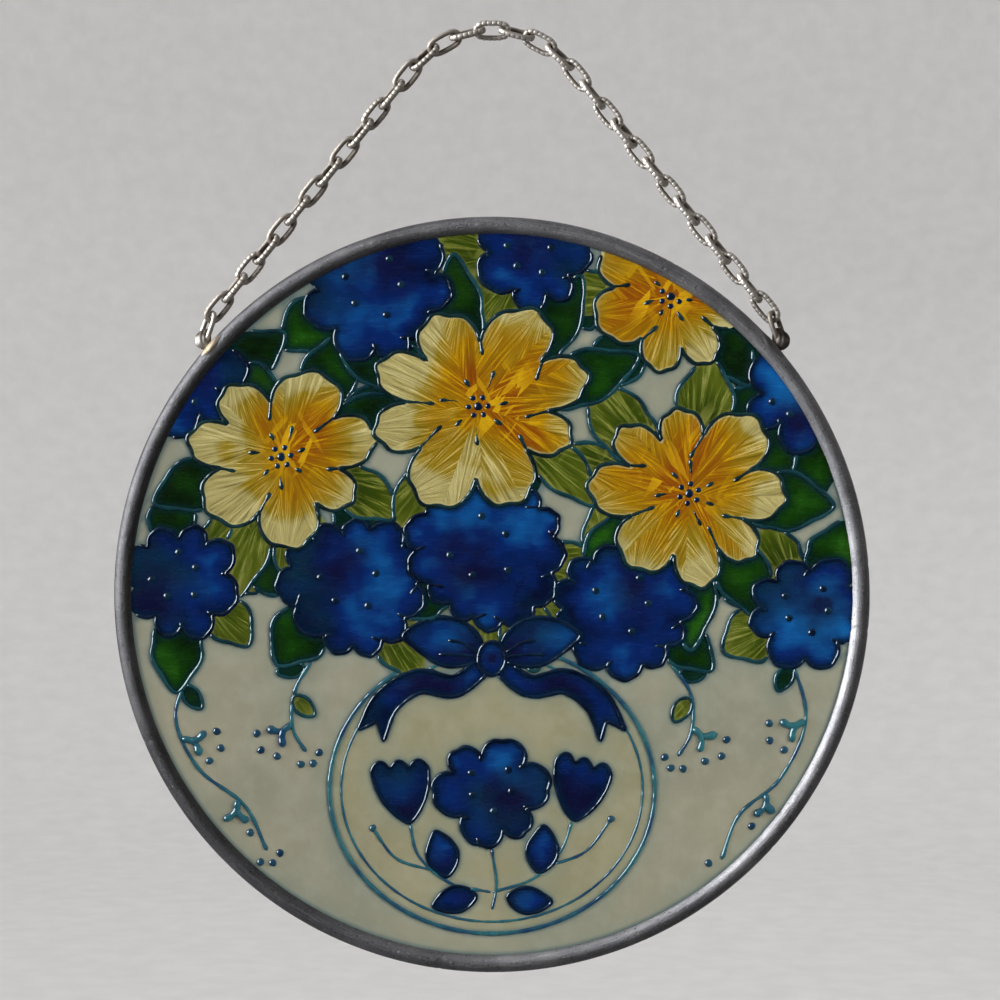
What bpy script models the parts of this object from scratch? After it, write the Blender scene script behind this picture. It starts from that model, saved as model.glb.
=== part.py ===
"""Round painted-glass suncatcher: a glass disc in a metal rim, hung by a chain of oval links.

Metres, +Z up, front towards -Y. The origin is the point under the top link where a peg or
hook carries the suncatcher. Every place is worked out from the driving dimensions below.
"""

import math

import bmesh
import bpy
from mathutils import Matrix, Vector

MM = 0.001
CLEARANCE = 0.3 * MM            # gap left between pieces that touch

# Disc and rim
DISC_DIAMETER = 165.0 * MM      # across the outside of the rim
RIM_FACE_WIDTH = 4.0 * MM       # seen from the front
RIM_CREST = 2.9 * MM            # front of the half-round face, from the middle of the glass
RIM_BACK = 2.4 * MM             # flat back, from the middle of the glass
RIM_SHOULDER = 1.2 * MM         # depth at which the half-round face meets the outer wall
RIM_WEB = 1.5 * MM              # metal outside the edge of the glass
RIM_CORNER = 0.6 * MM           # chamfer along both edges of the back
GLASS_THICKNESS = 3.0 * MM
GLASS_ARRIS = 0.3 * MM          # ground edge of the glass
ROUND_STEPS = 88                # facets around the disc and the rim
FACE_STEPS = 7                  # facets across the half-round face

# Chain
LINK_WIRE = 1.2 * MM            # thickness of a link's wire, seen on its open face
LINK_DEPTH = 1.4 * MM           # depth of the same wire, which is slightly flattened
LINK_WIDTH = 4.8 * MM
LINK_PITCH = 5.45 * MM          # from one link's middle to the next
LINKS_PER_SIDE = 16             # below the top link, on each side
SIDE_SLOPE = math.radians(50.9)  # of the straight sides, from level
PEG_PATH_RADIUS = 22.0 * MM     # the chain's middle line where it bends over a thick peg
FACE_ROLL = math.radians(25.0)  # how far an open-faced link is turned about its length
ROLL_SWAY = math.radians(7.0)   # small uneven turn from link to link
LINK_STEPS = 14                 # facets around a link
HOOK_PLAY = 0.55 * MM           # free play between two hooked wires
BLUNTNESS = 3.0                 # 2 makes an oval a plain ellipse, more makes its ends blunter

# Eyes soldered to the rim
EYE_WIRE = 1.1 * MM
EYE_LENGTH = 7.6 * MM
EYE_WIDTH = 4.6 * MM
EYE_JOINT_RADIUS = 86.4 * MM    # from the disc's middle to where link and eye meet
EYE_TILT = math.radians(71.0)   # of the eye's length, from level
EYE_ROLL = math.radians(-55.0)
SOLDER_ALONG_RIM = 1.9 * MM     # half sizes of the solder drop under each eye
SOLDER_DEPTH = 1.5 * MM

# Worked out from the dimensions above
LINK_LENGTH = LINK_PITCH + 2 * LINK_WIRE + HOOK_PLAY
HOOKED_OFFSET = (LINK_WIRE + HOOK_PLAY) / 2   # from a joint to either wire that meets there
DISC_RADIUS = DISC_DIAMETER / 2
RIM_INNER_RADIUS = DISC_RADIUS - RIM_FACE_WIDTH
SLOT_RADIUS = DISC_RADIUS - RIM_WEB
SLOT_HALF_WIDTH = GLASS_THICKNESS / 2 + CLEARANCE
TOP_LINK_HEIGHT = ((LINK_WIDTH - LINK_WIRE) / 2 * math.cos(FACE_ROLL)
                   + math.hypot(LINK_WIRE / 2 * math.cos(FACE_ROLL),
                                LINK_DEPTH / 2 * math.sin(FACE_ROLL)))

FINISHES = {
    "frosted_glass": {"colour": (0.36, 0.36, 0.27, 1.0), "roughness": 0.45, "metallic": 0.0},
    "rim_metal": {"colour": (0.16, 0.16, 0.17, 1.0), "roughness": 0.42, "metallic": 1.0},
    "chain_metal": {"colour": (0.48, 0.45, 0.39, 1.0), "roughness": 0.32, "metallic": 1.0},
}


def clear_scene():
    for thing in list(bpy.data.objects):
        bpy.data.objects.remove(thing, do_unlink=True)


def finish(name):
    """One Principled material for each kind of surface."""
    material = bpy.data.materials.get(name)
    if material is None:
        material = bpy.data.materials.new(name)
        material.use_nodes = True
        shader = material.node_tree.nodes["Principled BSDF"]
        shader.inputs["Base Color"].default_value = FINISHES[name]["colour"]
        shader.inputs["Roughness"].default_value = FINISHES[name]["roughness"]
        shader.inputs["Metallic"].default_value = FINISHES[name]["metallic"]
    return material


def add_piece(name, data, finish_name):
    """Put a mesh or a curve in the scene as one named piece."""
    piece = bpy.data.objects.new(name, data)
    bpy.context.scene.collection.objects.link(piece)
    if not data.materials:
        data.materials.append(finish(finish_name))
    return piece


# ---------------------------------------------------------------- disc and rim

def glass_mesh():
    """A flat disc that stands upright, with a small ground bevel around both faces."""
    bm = bmesh.new()
    bmesh.ops.create_cone(bm, cap_ends=True, segments=ROUND_STEPS,
                          radius1=SLOT_RADIUS - CLEARANCE, radius2=SLOT_RADIUS - CLEARANCE,
                          depth=GLASS_THICKNESS)
    edges = [edge for edge in bm.edges if edge.calc_face_angle() > 1.0]
    bmesh.ops.bevel(bm, geom=edges, offset=GLASS_ARRIS, segments=1, affect="EDGES")
    upright = Matrix.Rotation(math.pi / 2, 3, "X")
    bmesh.ops.rotate(bm, cent=(0, 0, 0), matrix=upright, verts=bm.verts)
    mesh = bpy.data.meshes.new("glass_disc")
    bm.to_mesh(mesh)
    bm.free()
    mesh.shade_smooth()
    mesh.set_sharp_from_angle(angle=math.radians(30))
    return mesh


def rim_profile():
    """The came's section as (distance from the middle, depth): half-round front, flat back."""
    half_width = RIM_FACE_WIDTH / 2
    crest_height = RIM_CREST - RIM_SHOULDER
    start = math.asin((SLOT_HALF_WIDTH - RIM_SHOULDER) / crest_height)
    points = []
    for step in range(FACE_STEPS + 1):
        turn = start + (math.pi - start) * step / FACE_STEPS
        across = RIM_INNER_RADIUS + half_width - half_width * math.cos(turn)
        points.append((across, -RIM_SHOULDER - crest_height * math.sin(turn)))
    lip_radius = points[0][0]
    points.append((DISC_RADIUS, RIM_BACK - RIM_CORNER))
    points.append((DISC_RADIUS - RIM_CORNER, RIM_BACK))
    points.append((lip_radius + RIM_CORNER, RIM_BACK))
    points.append((lip_radius, SLOT_HALF_WIDTH))
    points.append((SLOT_RADIUS, SLOT_HALF_WIDTH))
    points.append((SLOT_RADIUS, -SLOT_HALF_WIDTH))
    return points


def rim_mesh():
    """The section spun once around the disc's axis."""
    bm = bmesh.new()
    verts = [bm.verts.new((across, depth, 0.0)) for across, depth in rim_profile()]
    edges = [bm.edges.new((vert, verts[index - 1])) for index, vert in enumerate(verts)]
    bmesh.ops.spin(bm, geom=verts + edges, cent=(0, 0, 0), axis=(0, 1, 0),
                   angle=2 * math.pi, steps=ROUND_STEPS, use_merge=True)
    bmesh.ops.recalc_face_normals(bm, faces=bm.faces)
    mesh = bpy.data.meshes.new("rim")
    bm.to_mesh(mesh)
    bm.free()
    mesh.shade_smooth()
    mesh.set_sharp_from_angle(angle=math.radians(35))
    return mesh


# ---------------------------------------------------------------- chain and eyes

def blunt(value):
    """Push a sine or cosine outwards, so that an ellipse gets blunter ends."""
    return math.copysign(abs(value) ** (2 / BLUNTNESS), value)


def wire_oval(name, length, width, wire):
    """A closed oval of round wire, long in X, wide in Z."""
    curve = bpy.data.curves.new(name, "CURVE")
    curve.dimensions = "3D"
    curve.bevel_depth = wire / 2
    curve.bevel_resolution = 1
    spline = curve.splines.new("POLY")
    spline.points.add(LINK_STEPS - 1)
    spline.use_cyclic_u = True
    for index, point in enumerate(spline.points):
        turn = 2 * math.pi * index / LINK_STEPS
        along = (length - wire) / 2 * blunt(math.cos(turn))
        across = (width - wire) / 2 * blunt(math.sin(turn))
        point.co = (along, 0.0, across, 1.0)
    return curve


def chain_side():
    """Middle and slope of each link from the top link down to the right-hand eye.

    The chain bends over the peg by one equal turn a link, then runs straight. The last
    item is the joint between the lowest link and the eye.
    """
    turn_per_link = 2 * math.asin(LINK_PITCH / (2 * PEG_PATH_RADIUS))
    joint = Vector((LINK_PITCH / 2, 0.0, TOP_LINK_HEIGHT))
    links = []
    for count in range(1, LINKS_PER_SIDE + 1):
        slope = min(count * turn_per_link, SIDE_SLOPE)
        down = Vector((math.cos(slope), 0.0, -math.sin(slope)))
        links.append((joint + down * LINK_PITCH / 2, slope))
        joint = joint + down * LINK_PITCH
    return links, joint


def link_roll(number):
    """Open-faced and edge-on by turns, each a little off true."""
    quarter = 0.0 if number % 2 else math.pi / 2
    return FACE_ROLL + quarter + ROLL_SWAY * math.sin(1.9 * number)


def add_chain(links):
    oval = wire_oval("chain_link", LINK_LENGTH, LINK_WIDTH, LINK_WIRE)
    top_number = LINKS_PER_SIDE + 1
    places = {top_number: (Vector((0.0, 0.0, TOP_LINK_HEIGHT)), 0.0)}
    for count, (middle, slope) in enumerate(links, start=1):
        places[top_number + count] = (middle, slope)
        places[top_number - count] = (Vector((-middle.x, 0.0, middle.z)), -slope)
    for number, (middle, slope) in sorted(places.items()):
        link = add_piece(f"link_{number:02d}", oval, "chain_metal")
        link.location = middle
        roll = FACE_ROLL if number == top_number else link_roll(number)
        link.rotation_euler = (roll, slope, 0.0)
        link.scale = (1.0, LINK_DEPTH / LINK_WIRE, 1.0)


def solder_drop(name, place, disc_middle):
    """A guide shape: the rounded drop of solder that joins an eye to the rim."""
    outward = place - disc_middle
    bm = bmesh.new()
    bmesh.ops.create_uvsphere(bm, u_segments=12, v_segments=8, radius=1.0)
    reach = outward.length - DISC_RADIUS - CLEARANCE
    bmesh.ops.scale(bm, vec=(SOLDER_ALONG_RIM, SOLDER_DEPTH, reach), verts=bm.verts)
    mesh = bpy.data.meshes.new(name)
    bm.to_mesh(mesh)
    bm.free()
    drop = add_piece(name, mesh, "chain_metal")
    drop.location = place
    drop.rotation_euler = (0.0, math.atan2(outward.x, outward.z), 0.0)
    drop.hide_render = True
    drop.display_type = "WIRE"
    return drop


def add_eye(name, joint, disc_middle):
    """A wire eye whose top end holds the chain and whose foot is soldered to the rim."""
    side = math.copysign(1.0, joint.x)
    upward = Vector((-side * math.cos(EYE_TILT), 0.0, math.sin(EYE_TILT)))
    top = joint + upward * HOOKED_OFFSET
    foot = top - upward * (EYE_LENGTH - EYE_WIRE)
    oval = wire_oval(name, EYE_LENGTH, EYE_WIDTH, EYE_WIRE)
    outline = add_piece(f"{name}_outline", oval, "chain_metal")
    mesh = bpy.data.meshes.new_from_object(outline)
    bpy.data.objects.remove(outline, do_unlink=True)
    eye = add_piece(name, mesh, "chain_metal")
    eye.location = (top + foot) / 2
    eye.rotation_euler = (EYE_ROLL, side * EYE_TILT, 0.0)
    mesh.shade_smooth()
    joined = eye.modifiers.new("solder", "BOOLEAN")
    joined.operation = "UNION"
    joined.solver = "EXACT"
    joined.object = solder_drop(f"{name}_solder_guide", foot, disc_middle)


def build():
    clear_scene()
    links, right_joint = chain_side()
    left_joint = Vector((-right_joint.x, 0.0, right_joint.z))
    drop_to_middle = math.sqrt(EYE_JOINT_RADIUS ** 2 - right_joint.x ** 2)
    disc_middle = Vector((0.0, 0.0, right_joint.z - drop_to_middle))

    glass = add_piece("glass_disc", glass_mesh(), "frosted_glass")
    glass.location = disc_middle
    rim = add_piece("rim", rim_mesh(), "rim_metal")
    rim.location = disc_middle
    add_chain(links)
    add_eye("loop_left", left_joint, disc_middle)
    add_eye("loop_right", right_joint, disc_middle)


build()
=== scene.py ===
# %% [markdown]
# # A painted-glass suncatcher
# The real object is a disc of glass in a metal rim, hung by a light chain. The picture on it is
# drawn with a raised outline paste, and the cells between the lines are flooded with glossy
# enamel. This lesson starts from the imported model, which fixes every size and place, and adds
# what a solid can't carry: the milled links, the worn metal, the raised lines and the enamels.

import math

import bmesh
import bpy
import numpy as np
from mathutils import Matrix, Vector
from mathutils.geometry import delaunay_2d_cdt
from mathutils.kdtree import KDTree


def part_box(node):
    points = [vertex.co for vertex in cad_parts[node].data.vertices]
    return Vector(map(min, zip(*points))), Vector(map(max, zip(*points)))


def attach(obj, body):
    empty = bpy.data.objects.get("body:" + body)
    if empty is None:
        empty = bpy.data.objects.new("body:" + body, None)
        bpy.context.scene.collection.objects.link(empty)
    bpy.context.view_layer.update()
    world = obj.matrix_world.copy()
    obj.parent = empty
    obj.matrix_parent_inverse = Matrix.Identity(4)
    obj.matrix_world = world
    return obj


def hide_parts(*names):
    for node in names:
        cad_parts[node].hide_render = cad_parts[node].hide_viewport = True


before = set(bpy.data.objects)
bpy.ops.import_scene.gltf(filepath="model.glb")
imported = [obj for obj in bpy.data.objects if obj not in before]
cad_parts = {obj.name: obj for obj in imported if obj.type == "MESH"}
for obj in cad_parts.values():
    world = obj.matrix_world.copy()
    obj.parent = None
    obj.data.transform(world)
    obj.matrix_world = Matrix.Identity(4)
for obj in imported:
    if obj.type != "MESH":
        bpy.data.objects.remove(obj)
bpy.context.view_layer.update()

MM = 0.001
rim_low, rim_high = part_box("rim")
glass_low, glass_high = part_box("glass_disc")
DISC_RADIUS = (rim_high.x - rim_low.x) / 2
MIDDLE = Vector((0.0, 0.0, (rim_low.z + rim_high.z) / 2))
GLASS_FRONT = glass_low.y
GLASS_BACK = glass_high.y
print(f"disc {2 * DISC_RADIUS / MM:.1f} mm across, middle {MIDDLE.z / MM:.1f} mm below the peg")

# %% [markdown]
# ## The viewpoint
# The disc is looked at squarely from the front. A long lens keeps the circle a true circle, as
# a maker's product picture does. The distance follows from how wide the picture is at the disc.

# %% Camera
LENS = 85.0
SENSOR = 36.0
VIEW_WIDTH = 218.2 * MM          # width of the picture at the disc
VIEW_SHIFT = Vector((1.75, 0.0, 20.6)) * MM


def in_scene(name, data):
    """A new object that holds this data, linked to the scene."""
    item = bpy.data.objects.new(name, data)
    bpy.context.scene.collection.objects.link(item)
    return item


camera_data = bpy.data.cameras.new("view")
camera_data.lens = LENS
camera_data.sensor_width = SENSOR
camera = in_scene("view", camera_data)
distance = VIEW_WIDTH * LENS / SENSOR
camera.location = MIDDLE + VIEW_SHIFT + Vector((0.0, GLASS_FRONT - distance, 0.0))
camera.rotation_euler = (math.pi / 2, 0.0, 0.0)
bpy.context.scene.camera = camera
print(f"camera stands {distance:.3f} m from the glass")

# %% [markdown]
# ## The room
# A pale bowl serves as floor and backdrop in one: a profile spun about the vertical axis, flat
# below and curving up at the sides, so no horizon line shows from any side. Metal and gloss
# don't mirror the bowl, only the lamps and a dim sky, which keeps the enamel colours deep.

# %% Floor and backdrop in one bowl
FLOOR_DROP = 150 * MM            # floor below the lowest point of the disc
BOWL_FLAT = 1.1
BOWL_CURVE = 1.0
BOWL_TOP = 2.4
WALL_STEPS = 14
BOWL_SIDES = 96


def bowl_profile():
    """Distance from the axis and height: flat floor, quarter round, straight wall."""
    floor = rim_low.z - FLOOR_DROP
    points = [(0.0, floor), (BOWL_FLAT, floor)]
    for step in range(1, WALL_STEPS + 1):
        turn = math.pi / 2 * step / WALL_STEPS
        points.append((BOWL_FLAT + BOWL_CURVE * math.sin(turn),
                       floor + BOWL_CURVE * (1 - math.cos(turn))))
    points.append((BOWL_FLAT + BOWL_CURVE, BOWL_TOP))
    return points


def spun(name, profile, steps):
    """A profile of (distance, height) spun about the vertical axis."""
    bm = bmesh.new()
    verts = [bm.verts.new((across, 0.0, height)) for across, height in profile]
    edges = [bm.edges.new(pair) for pair in zip(verts, verts[1:])]
    bmesh.ops.spin(bm, geom=verts + edges, cent=(0, 0, 0), axis=(0, 0, 1),
                   angle=2 * math.pi, steps=steps, use_merge=True)
    bmesh.ops.remove_doubles(bm, verts=bm.verts, dist=1e-5)
    mesh = bpy.data.meshes.new(name)
    bm.to_mesh(mesh)
    bm.free()
    mesh.shade_smooth()
    return mesh


bowl = in_scene("pale_bowl", spun("pale_bowl", bowl_profile(), BOWL_SIDES))
bowl.visible_glossy = False
print("bowl", len(bowl.data.polygons), "faces")

# %% [markdown]
# ## The light
# One broad soft lamp stands far to the left. A brighter one in the same place shows only in
# gloss, so every raised line catches a crisp streak along its left edge, as it does beside a
# real window. A weak one in front keeps the shaded sides readable, and two more wash the
# backdrop so that light also comes through the glass from behind. The soft lamp is narrowed, as
# by a grid across a softbox, or it would burn out the wall that it stands beside.

# %% Lamps and sky


def soft_lamp(name, place, size, power, tint=(1.0, 1.0, 1.0), aim=MIDDLE, glint=False,
              spread=180):
    """An oblong lamp aimed at a place; spread is how wide its light fans out, in degrees."""
    data = bpy.data.lights.new(name, "AREA")
    data.shape = "RECTANGLE"
    data.size, data.size_y = size
    data.energy = power
    data.spread = math.radians(spread)
    data.color = tint
    lamp = in_scene(name, data)
    lamp.location = place
    lamp.rotation_euler = (aim - lamp.location).to_track_quat("-Z", "Y").to_euler()
    lamp.visible_camera = False
    lamp.visible_glossy = glint
    lamp.visible_diffuse = not glint
    lamp.visible_transmission = not glint


WINDOW = Vector((-1.60, -0.68, 0.45))
GLINT_NEARER = 0.95              # the glint lamp stands just in front of the soft one
COOL_DAYLIGHT = (0.95, 0.98, 1.0)
WARM_FILL = (1.0, 0.97, 0.92)
soft_lamp("window_left", MIDDLE + WINDOW, (1.0, 1.3), 14, tint=COOL_DAYLIGHT, spread=120)
soft_lamp("window_glint", MIDDLE + WINDOW * GLINT_NEARER, (1.0, 1.2), 76, tint=COOL_DAYLIGHT,
          glint=True)
soft_lamp("front_fill", MIDDLE + Vector((0.80, -0.60, 0.35)), (0.6, 0.6), 13.5, tint=WARM_FILL)
soft_lamp("back_wash_left", Vector((-1.0, 0.7, 1.1)), (1.0, 1.0), 11,
          aim=Vector((0.2, 2.1, 0.1)))
soft_lamp("back_wash_right", Vector((1.0, 0.7, 1.1)), (1.0, 1.0), 6.6,
          aim=Vector((-0.2, 2.1, 0.1)))
soft_lamp("rear_fill", Vector((0.4, 1.3, 0.9)), (0.8, 0.8), 4)

# %% A sky that is dark in front of the disc and brighter towards the left, the top and the back
SKY_SLOPE = (-0.14, 0.24, 0.10)  # how much brighter the sky grows along each direction
SKY_LEVEL = 0.20                 # its brightness halfway
SKY_TINT = (0.93, 0.95, 1.0, 1.0)

world = bpy.data.worlds.new("dim_sky")
bpy.context.scene.world = world
world.use_nodes = True
sky = world.node_tree.nodes["Background"]
sky.inputs["Color"].default_value = SKY_TINT
looking = world.node_tree.nodes.new("ShaderNodeTexCoord")
slope = world.node_tree.nodes.new("ShaderNodeVectorMath")
slope.operation = "DOT_PRODUCT"
slope.inputs[1].default_value = SKY_SLOPE
level = world.node_tree.nodes.new("ShaderNodeMath")
level.operation = "ADD"
level.inputs[1].default_value = SKY_LEVEL
level.use_clamp = True
world.node_tree.links.new(looking.outputs["Generated"], slope.inputs[0])
world.node_tree.links.new(slope.outputs["Value"], level.inputs[0])
world.node_tree.links.new(level.outputs[0], sky.inputs["Strength"])
bpy.context.scene.view_settings.view_transform = "Standard"

# %% [markdown]
# ## Tools for making finishes
# A finish is a small network of nodes. These helpers keep the later cells short: one adds a
# node and sets its plain values, one makes a noise pattern, one a ramp of colours, one mixes
# two colours, one makes a pattern swing about nothing, so that it can be added to a value
# without shifting it, and one turns a pattern into fine relief.

# %% Node helpers


class Finish:
    """A Principled material and short ways to add nodes to it."""

    def __init__(self, name, **values):
        self.material = bpy.data.materials.new(name)
        self.material.use_nodes = True
        self.nodes = self.material.node_tree.nodes
        self.shader = self.nodes["Principled BSDF"]
        for socket, value in values.items():
            self.shader.inputs[socket.replace("_", " ")].default_value = value

    def link(self, output, target):
        self.material.node_tree.links.new(output, target)

    def node(self, kind, inputs=None, **settings):
        node = self.nodes.new(kind)
        for name, value in settings.items():
            setattr(node, name, value)
        for name, value in (inputs or {}).items():
            if isinstance(value, bpy.types.NodeSocket):
                self.link(value, node.inputs[name])
            else:
                node.inputs[name].default_value = value
        return node

    def place(self):
        """Object coordinates, in metres."""
        return self.node("ShaderNodeTexCoord").outputs["Object"]

    def attribute(self, name, output="Fac"):
        return self.node("ShaderNodeAttribute", attribute_name=name).outputs[output]

    def parts(self, vector):
        """The three numbers of a vector, by their letters."""
        return self.node("ShaderNodeSeparateXYZ", {"Vector": vector}).outputs

    def stretched(self, vector, scale):
        mapping = self.node("ShaderNodeMapping", {"Vector": vector, "Scale": scale})
        return mapping.outputs["Vector"]

    def noise(self, vector, scale, detail=3.0, roughness=0.5):
        texture = self.node("ShaderNodeTexNoise", {"Vector": vector, "Scale": scale,
                                                   "Detail": detail, "Roughness": roughness})
        return texture.outputs["Fac"]

    def ramp(self, factor, *stops):
        """Blend between (position, colour or grey value) stops."""
        node = self.node("ShaderNodeValToRGB", {"Fac": factor})
        elements = node.color_ramp.elements
        while len(elements) < len(stops):
            elements.new(1.0)
        for element, (position, colour) in zip(elements, stops):
            element.position = position
            grey = isinstance(colour, float)
            element.color = (colour, colour, colour, 1.0) if grey else (*colour, 1.0)
        return node.outputs["Color"]

    def mix(self, factor, first, second, blend="MIX"):
        node = self.node("ShaderNodeMix", data_type="RGBA", blend_type=blend)
        for socket, value in ((node.inputs[0], factor), (node.inputs[6], first),
                              (node.inputs[7], second)):
            if isinstance(value, bpy.types.NodeSocket):
                self.link(value, socket)
            elif isinstance(value, tuple):
                socket.default_value = (*value, 1.0)
            else:
                socket.default_value = value
        return node.outputs[2]

    def math(self, operation, first, second):
        node = self.node("ShaderNodeMath", {0: first, 1: second}, operation=operation)
        return node.outputs[0]

    def swing(self, pattern, amount, middle=0.5):
        """The pattern as a small plus or minus: it is 0 where the pattern is at its middle."""
        return self.math("MULTIPLY", self.math("SUBTRACT", pattern, middle), amount)

    def relief(self, height, depth, strength):
        bump = self.node("ShaderNodeBump", {"Height": height, "Distance": depth,
                                            "Strength": strength})
        self.link(bump.outputs["Normal"], self.shader.inputs["Normal"])

    def colour(self, output):
        self.link(output, self.shader.inputs["Base Color"])

    def roughness(self, output):
        self.link(output, self.shader.inputs["Roughness"])


def add_piece(name, mesh, finish):
    """Put one finished piece on the suncatcher."""
    piece = in_scene(name, mesh)
    mesh.materials.clear()
    mesh.materials.append(finish.material)
    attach(piece, "root")
    return piece


def store(mesh, name, kind, domain, values):
    """Keep numbers on the mesh for a finish to read."""
    layer = mesh.attributes.new(name, kind, domain)
    field = "vector" if kind == "FLOAT_VECTOR" else "value"
    layer.data.foreach_set(field, np.asarray(values, np.float32).ravel())


def plaster_finish():
    """Matt plaster: with any gloss, the glint lamp would show as a patch on the wall."""
    finish = Finish("pale_plaster", Roughness=0.9, Specular_IOR_Level=0.0)
    speckle = finish.noise(finish.place(), 60.0)
    finish.colour(finish.ramp(speckle, (0.3, (0.535, 0.525, 0.52)), (0.7, (0.575, 0.565, 0.56))))
    return finish


bowl.data.materials.append(plaster_finish().material)

# %% [markdown]
# ## The rim
# The rim is lead-like came: a U-shaped strip, half round in front, bent round the glass. It is
# spun from its section again, only finer, and then dented very slightly, because hand-bent
# strip is never even. The two short cuts on the right are where the strip's ends were joined.

# %% The rim's section and its nicks
RIM_FACE_WIDTH = 4.0 * MM
RIM_SHOULDER = 1.2 * MM
RIM_WEB = 1.5 * MM
RIM_CORNER = 0.6 * MM
GLASS_GAP = 0.3 * MM
RIM_STEPS = 720
FACE_POINTS = 18
CORNER_POINTS = 3
TINY = 0.01 * MM

SLOT_HALF = (GLASS_BACK - GLASS_FRONT) / 2 + GLASS_GAP
RIM_RADIUS = DISC_RADIUS - TINY


def rim_section():
    """Distance from the middle and depth: round face, back corner, lip, and slot for the glass."""
    half = RIM_FACE_WIDTH / 2
    crest = -rim_low.y - RIM_SHOULDER
    start = math.asin((SLOT_HALF - RIM_SHOULDER) / crest)
    points = []
    for step in range(FACE_POINTS + 1):
        turn = start + (math.pi - start) * step / FACE_POINTS
        points.append((RIM_RADIUS - half - half * math.cos(turn),
                       -RIM_SHOULDER - crest * math.sin(turn)))
    lip = points[0][0]
    for step in range(CORNER_POINTS + 1):
        turn = math.pi / 2 * step / CORNER_POINTS
        points.append((RIM_RADIUS - RIM_CORNER * (1 - math.cos(turn)),
                       rim_high.y - RIM_CORNER * (1 - math.sin(turn))))
    points += [(lip + RIM_CORNER, rim_high.y), (lip, SLOT_HALF),
               (RIM_RADIUS - RIM_WEB, SLOT_HALF), (RIM_RADIUS - RIM_WEB, -SLOT_HALF)]
    return np.array(points)


WAVER = 0.02                     # mm, of the shallow waves all along the strip
# place around the rim in degrees from the right-hand side, width in mm, depth in mm
NICKS = ((4.4, 0.45, 0.16), (-5.5, 0.35, 0.14), (145.8, 0.8, 0.07), (109.5, 1.2, 0.06),
         (61.0, 0.5, 0.08), (203.0, 0.6, 0.08), (262.0, 0.4, 0.10), (318.0, 0.7, 0.07))


def rim_dents(turn):
    """How far the face is pressed in at each place around the rim, in metres."""
    dents = WAVER * (1 + np.sin(7 * turn + 1.0) * np.sin(11 * turn)) * MM
    for place, width, depth in NICKS:
        away = (turn - math.radians(place) + math.pi) % (2 * math.pi) - math.pi
        dents = dents + depth * MM * np.exp(-(away * RIM_RADIUS / (width / 2 * MM)) ** 2)
    return dents


# %% Build the rim
STREAK_SHIFT = 0.35              # how unlike two neighbouring streaks of the drawn strip are


def closed_grid(rows, columns):
    """Faces of a grid that closes on itself both ways."""
    row, column = np.meshgrid(np.arange(rows), np.arange(columns), indexing="ij")
    next_row, next_column = (row + 1) % rows, (column + 1) % columns
    corners = [row * columns + column, next_row * columns + column,
               next_row * columns + next_column, row * columns + next_column]
    return np.stack(corners, -1).reshape(-1, 4)


def face_values(mesh, name, size):
    """One property of all faces, a row for each."""
    values = np.empty(len(mesh.polygons) * size, np.float32)
    mesh.polygons.foreach_get(name, values)
    return values.reshape(-1, size).astype(float)


def mesh_from(name, points, faces, sharp=None):
    """A smooth closed mesh, turned so that its faces look outwards."""
    mesh = bpy.data.meshes.new(name)
    mesh.from_pydata([tuple(point) for point in points], [], [tuple(face) for face in faces])
    mesh.update()
    outward = face_values(mesh, "center", 3) * face_values(mesh, "normal", 3)
    if (outward * face_values(mesh, "area", 1)).sum() < 0:
        mesh.flip_normals()
    mesh.shade_smooth()
    if sharp is not None:
        mesh.set_sharp_from_angle(angle=math.radians(sharp))
    return mesh


def rim_mesh():
    """The section spun round the disc and dented, with the way its drawn streaks run."""
    section = rim_section()
    turn = np.linspace(0, 2 * math.pi, RIM_STEPS, endpoint=False)
    middle = np.array([RIM_RADIUS - RIM_FACE_WIDTH / 2, 0.0])
    inward = middle - section
    inward /= np.linalg.norm(inward, axis=1)[:, None]
    on_face = (np.arange(len(section)) <= FACE_POINTS)[None, :, None]
    pressed = section[None] + inward[None] * rim_dents(turn)[:, None, None] * on_face
    across, depth = pressed[..., 0], pressed[..., 1]
    points = np.stack([across * np.cos(turn)[:, None], depth,
                       across * np.sin(turn)[:, None]], -1).reshape(-1, 3)
    points += np.array(MIDDLE)
    mesh = mesh_from("rim_came", points, closed_grid(RIM_STEPS, len(section)), sharp=50)
    along = np.stack(np.broadcast_arrays(np.cos(turn)[:, None], np.sin(turn)[:, None],
                                         np.arange(len(section))[None] * STREAK_SHIFT), -1)
    store(mesh, "drawn", "FLOAT_VECTOR", "POINT", along)
    return mesh


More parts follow.
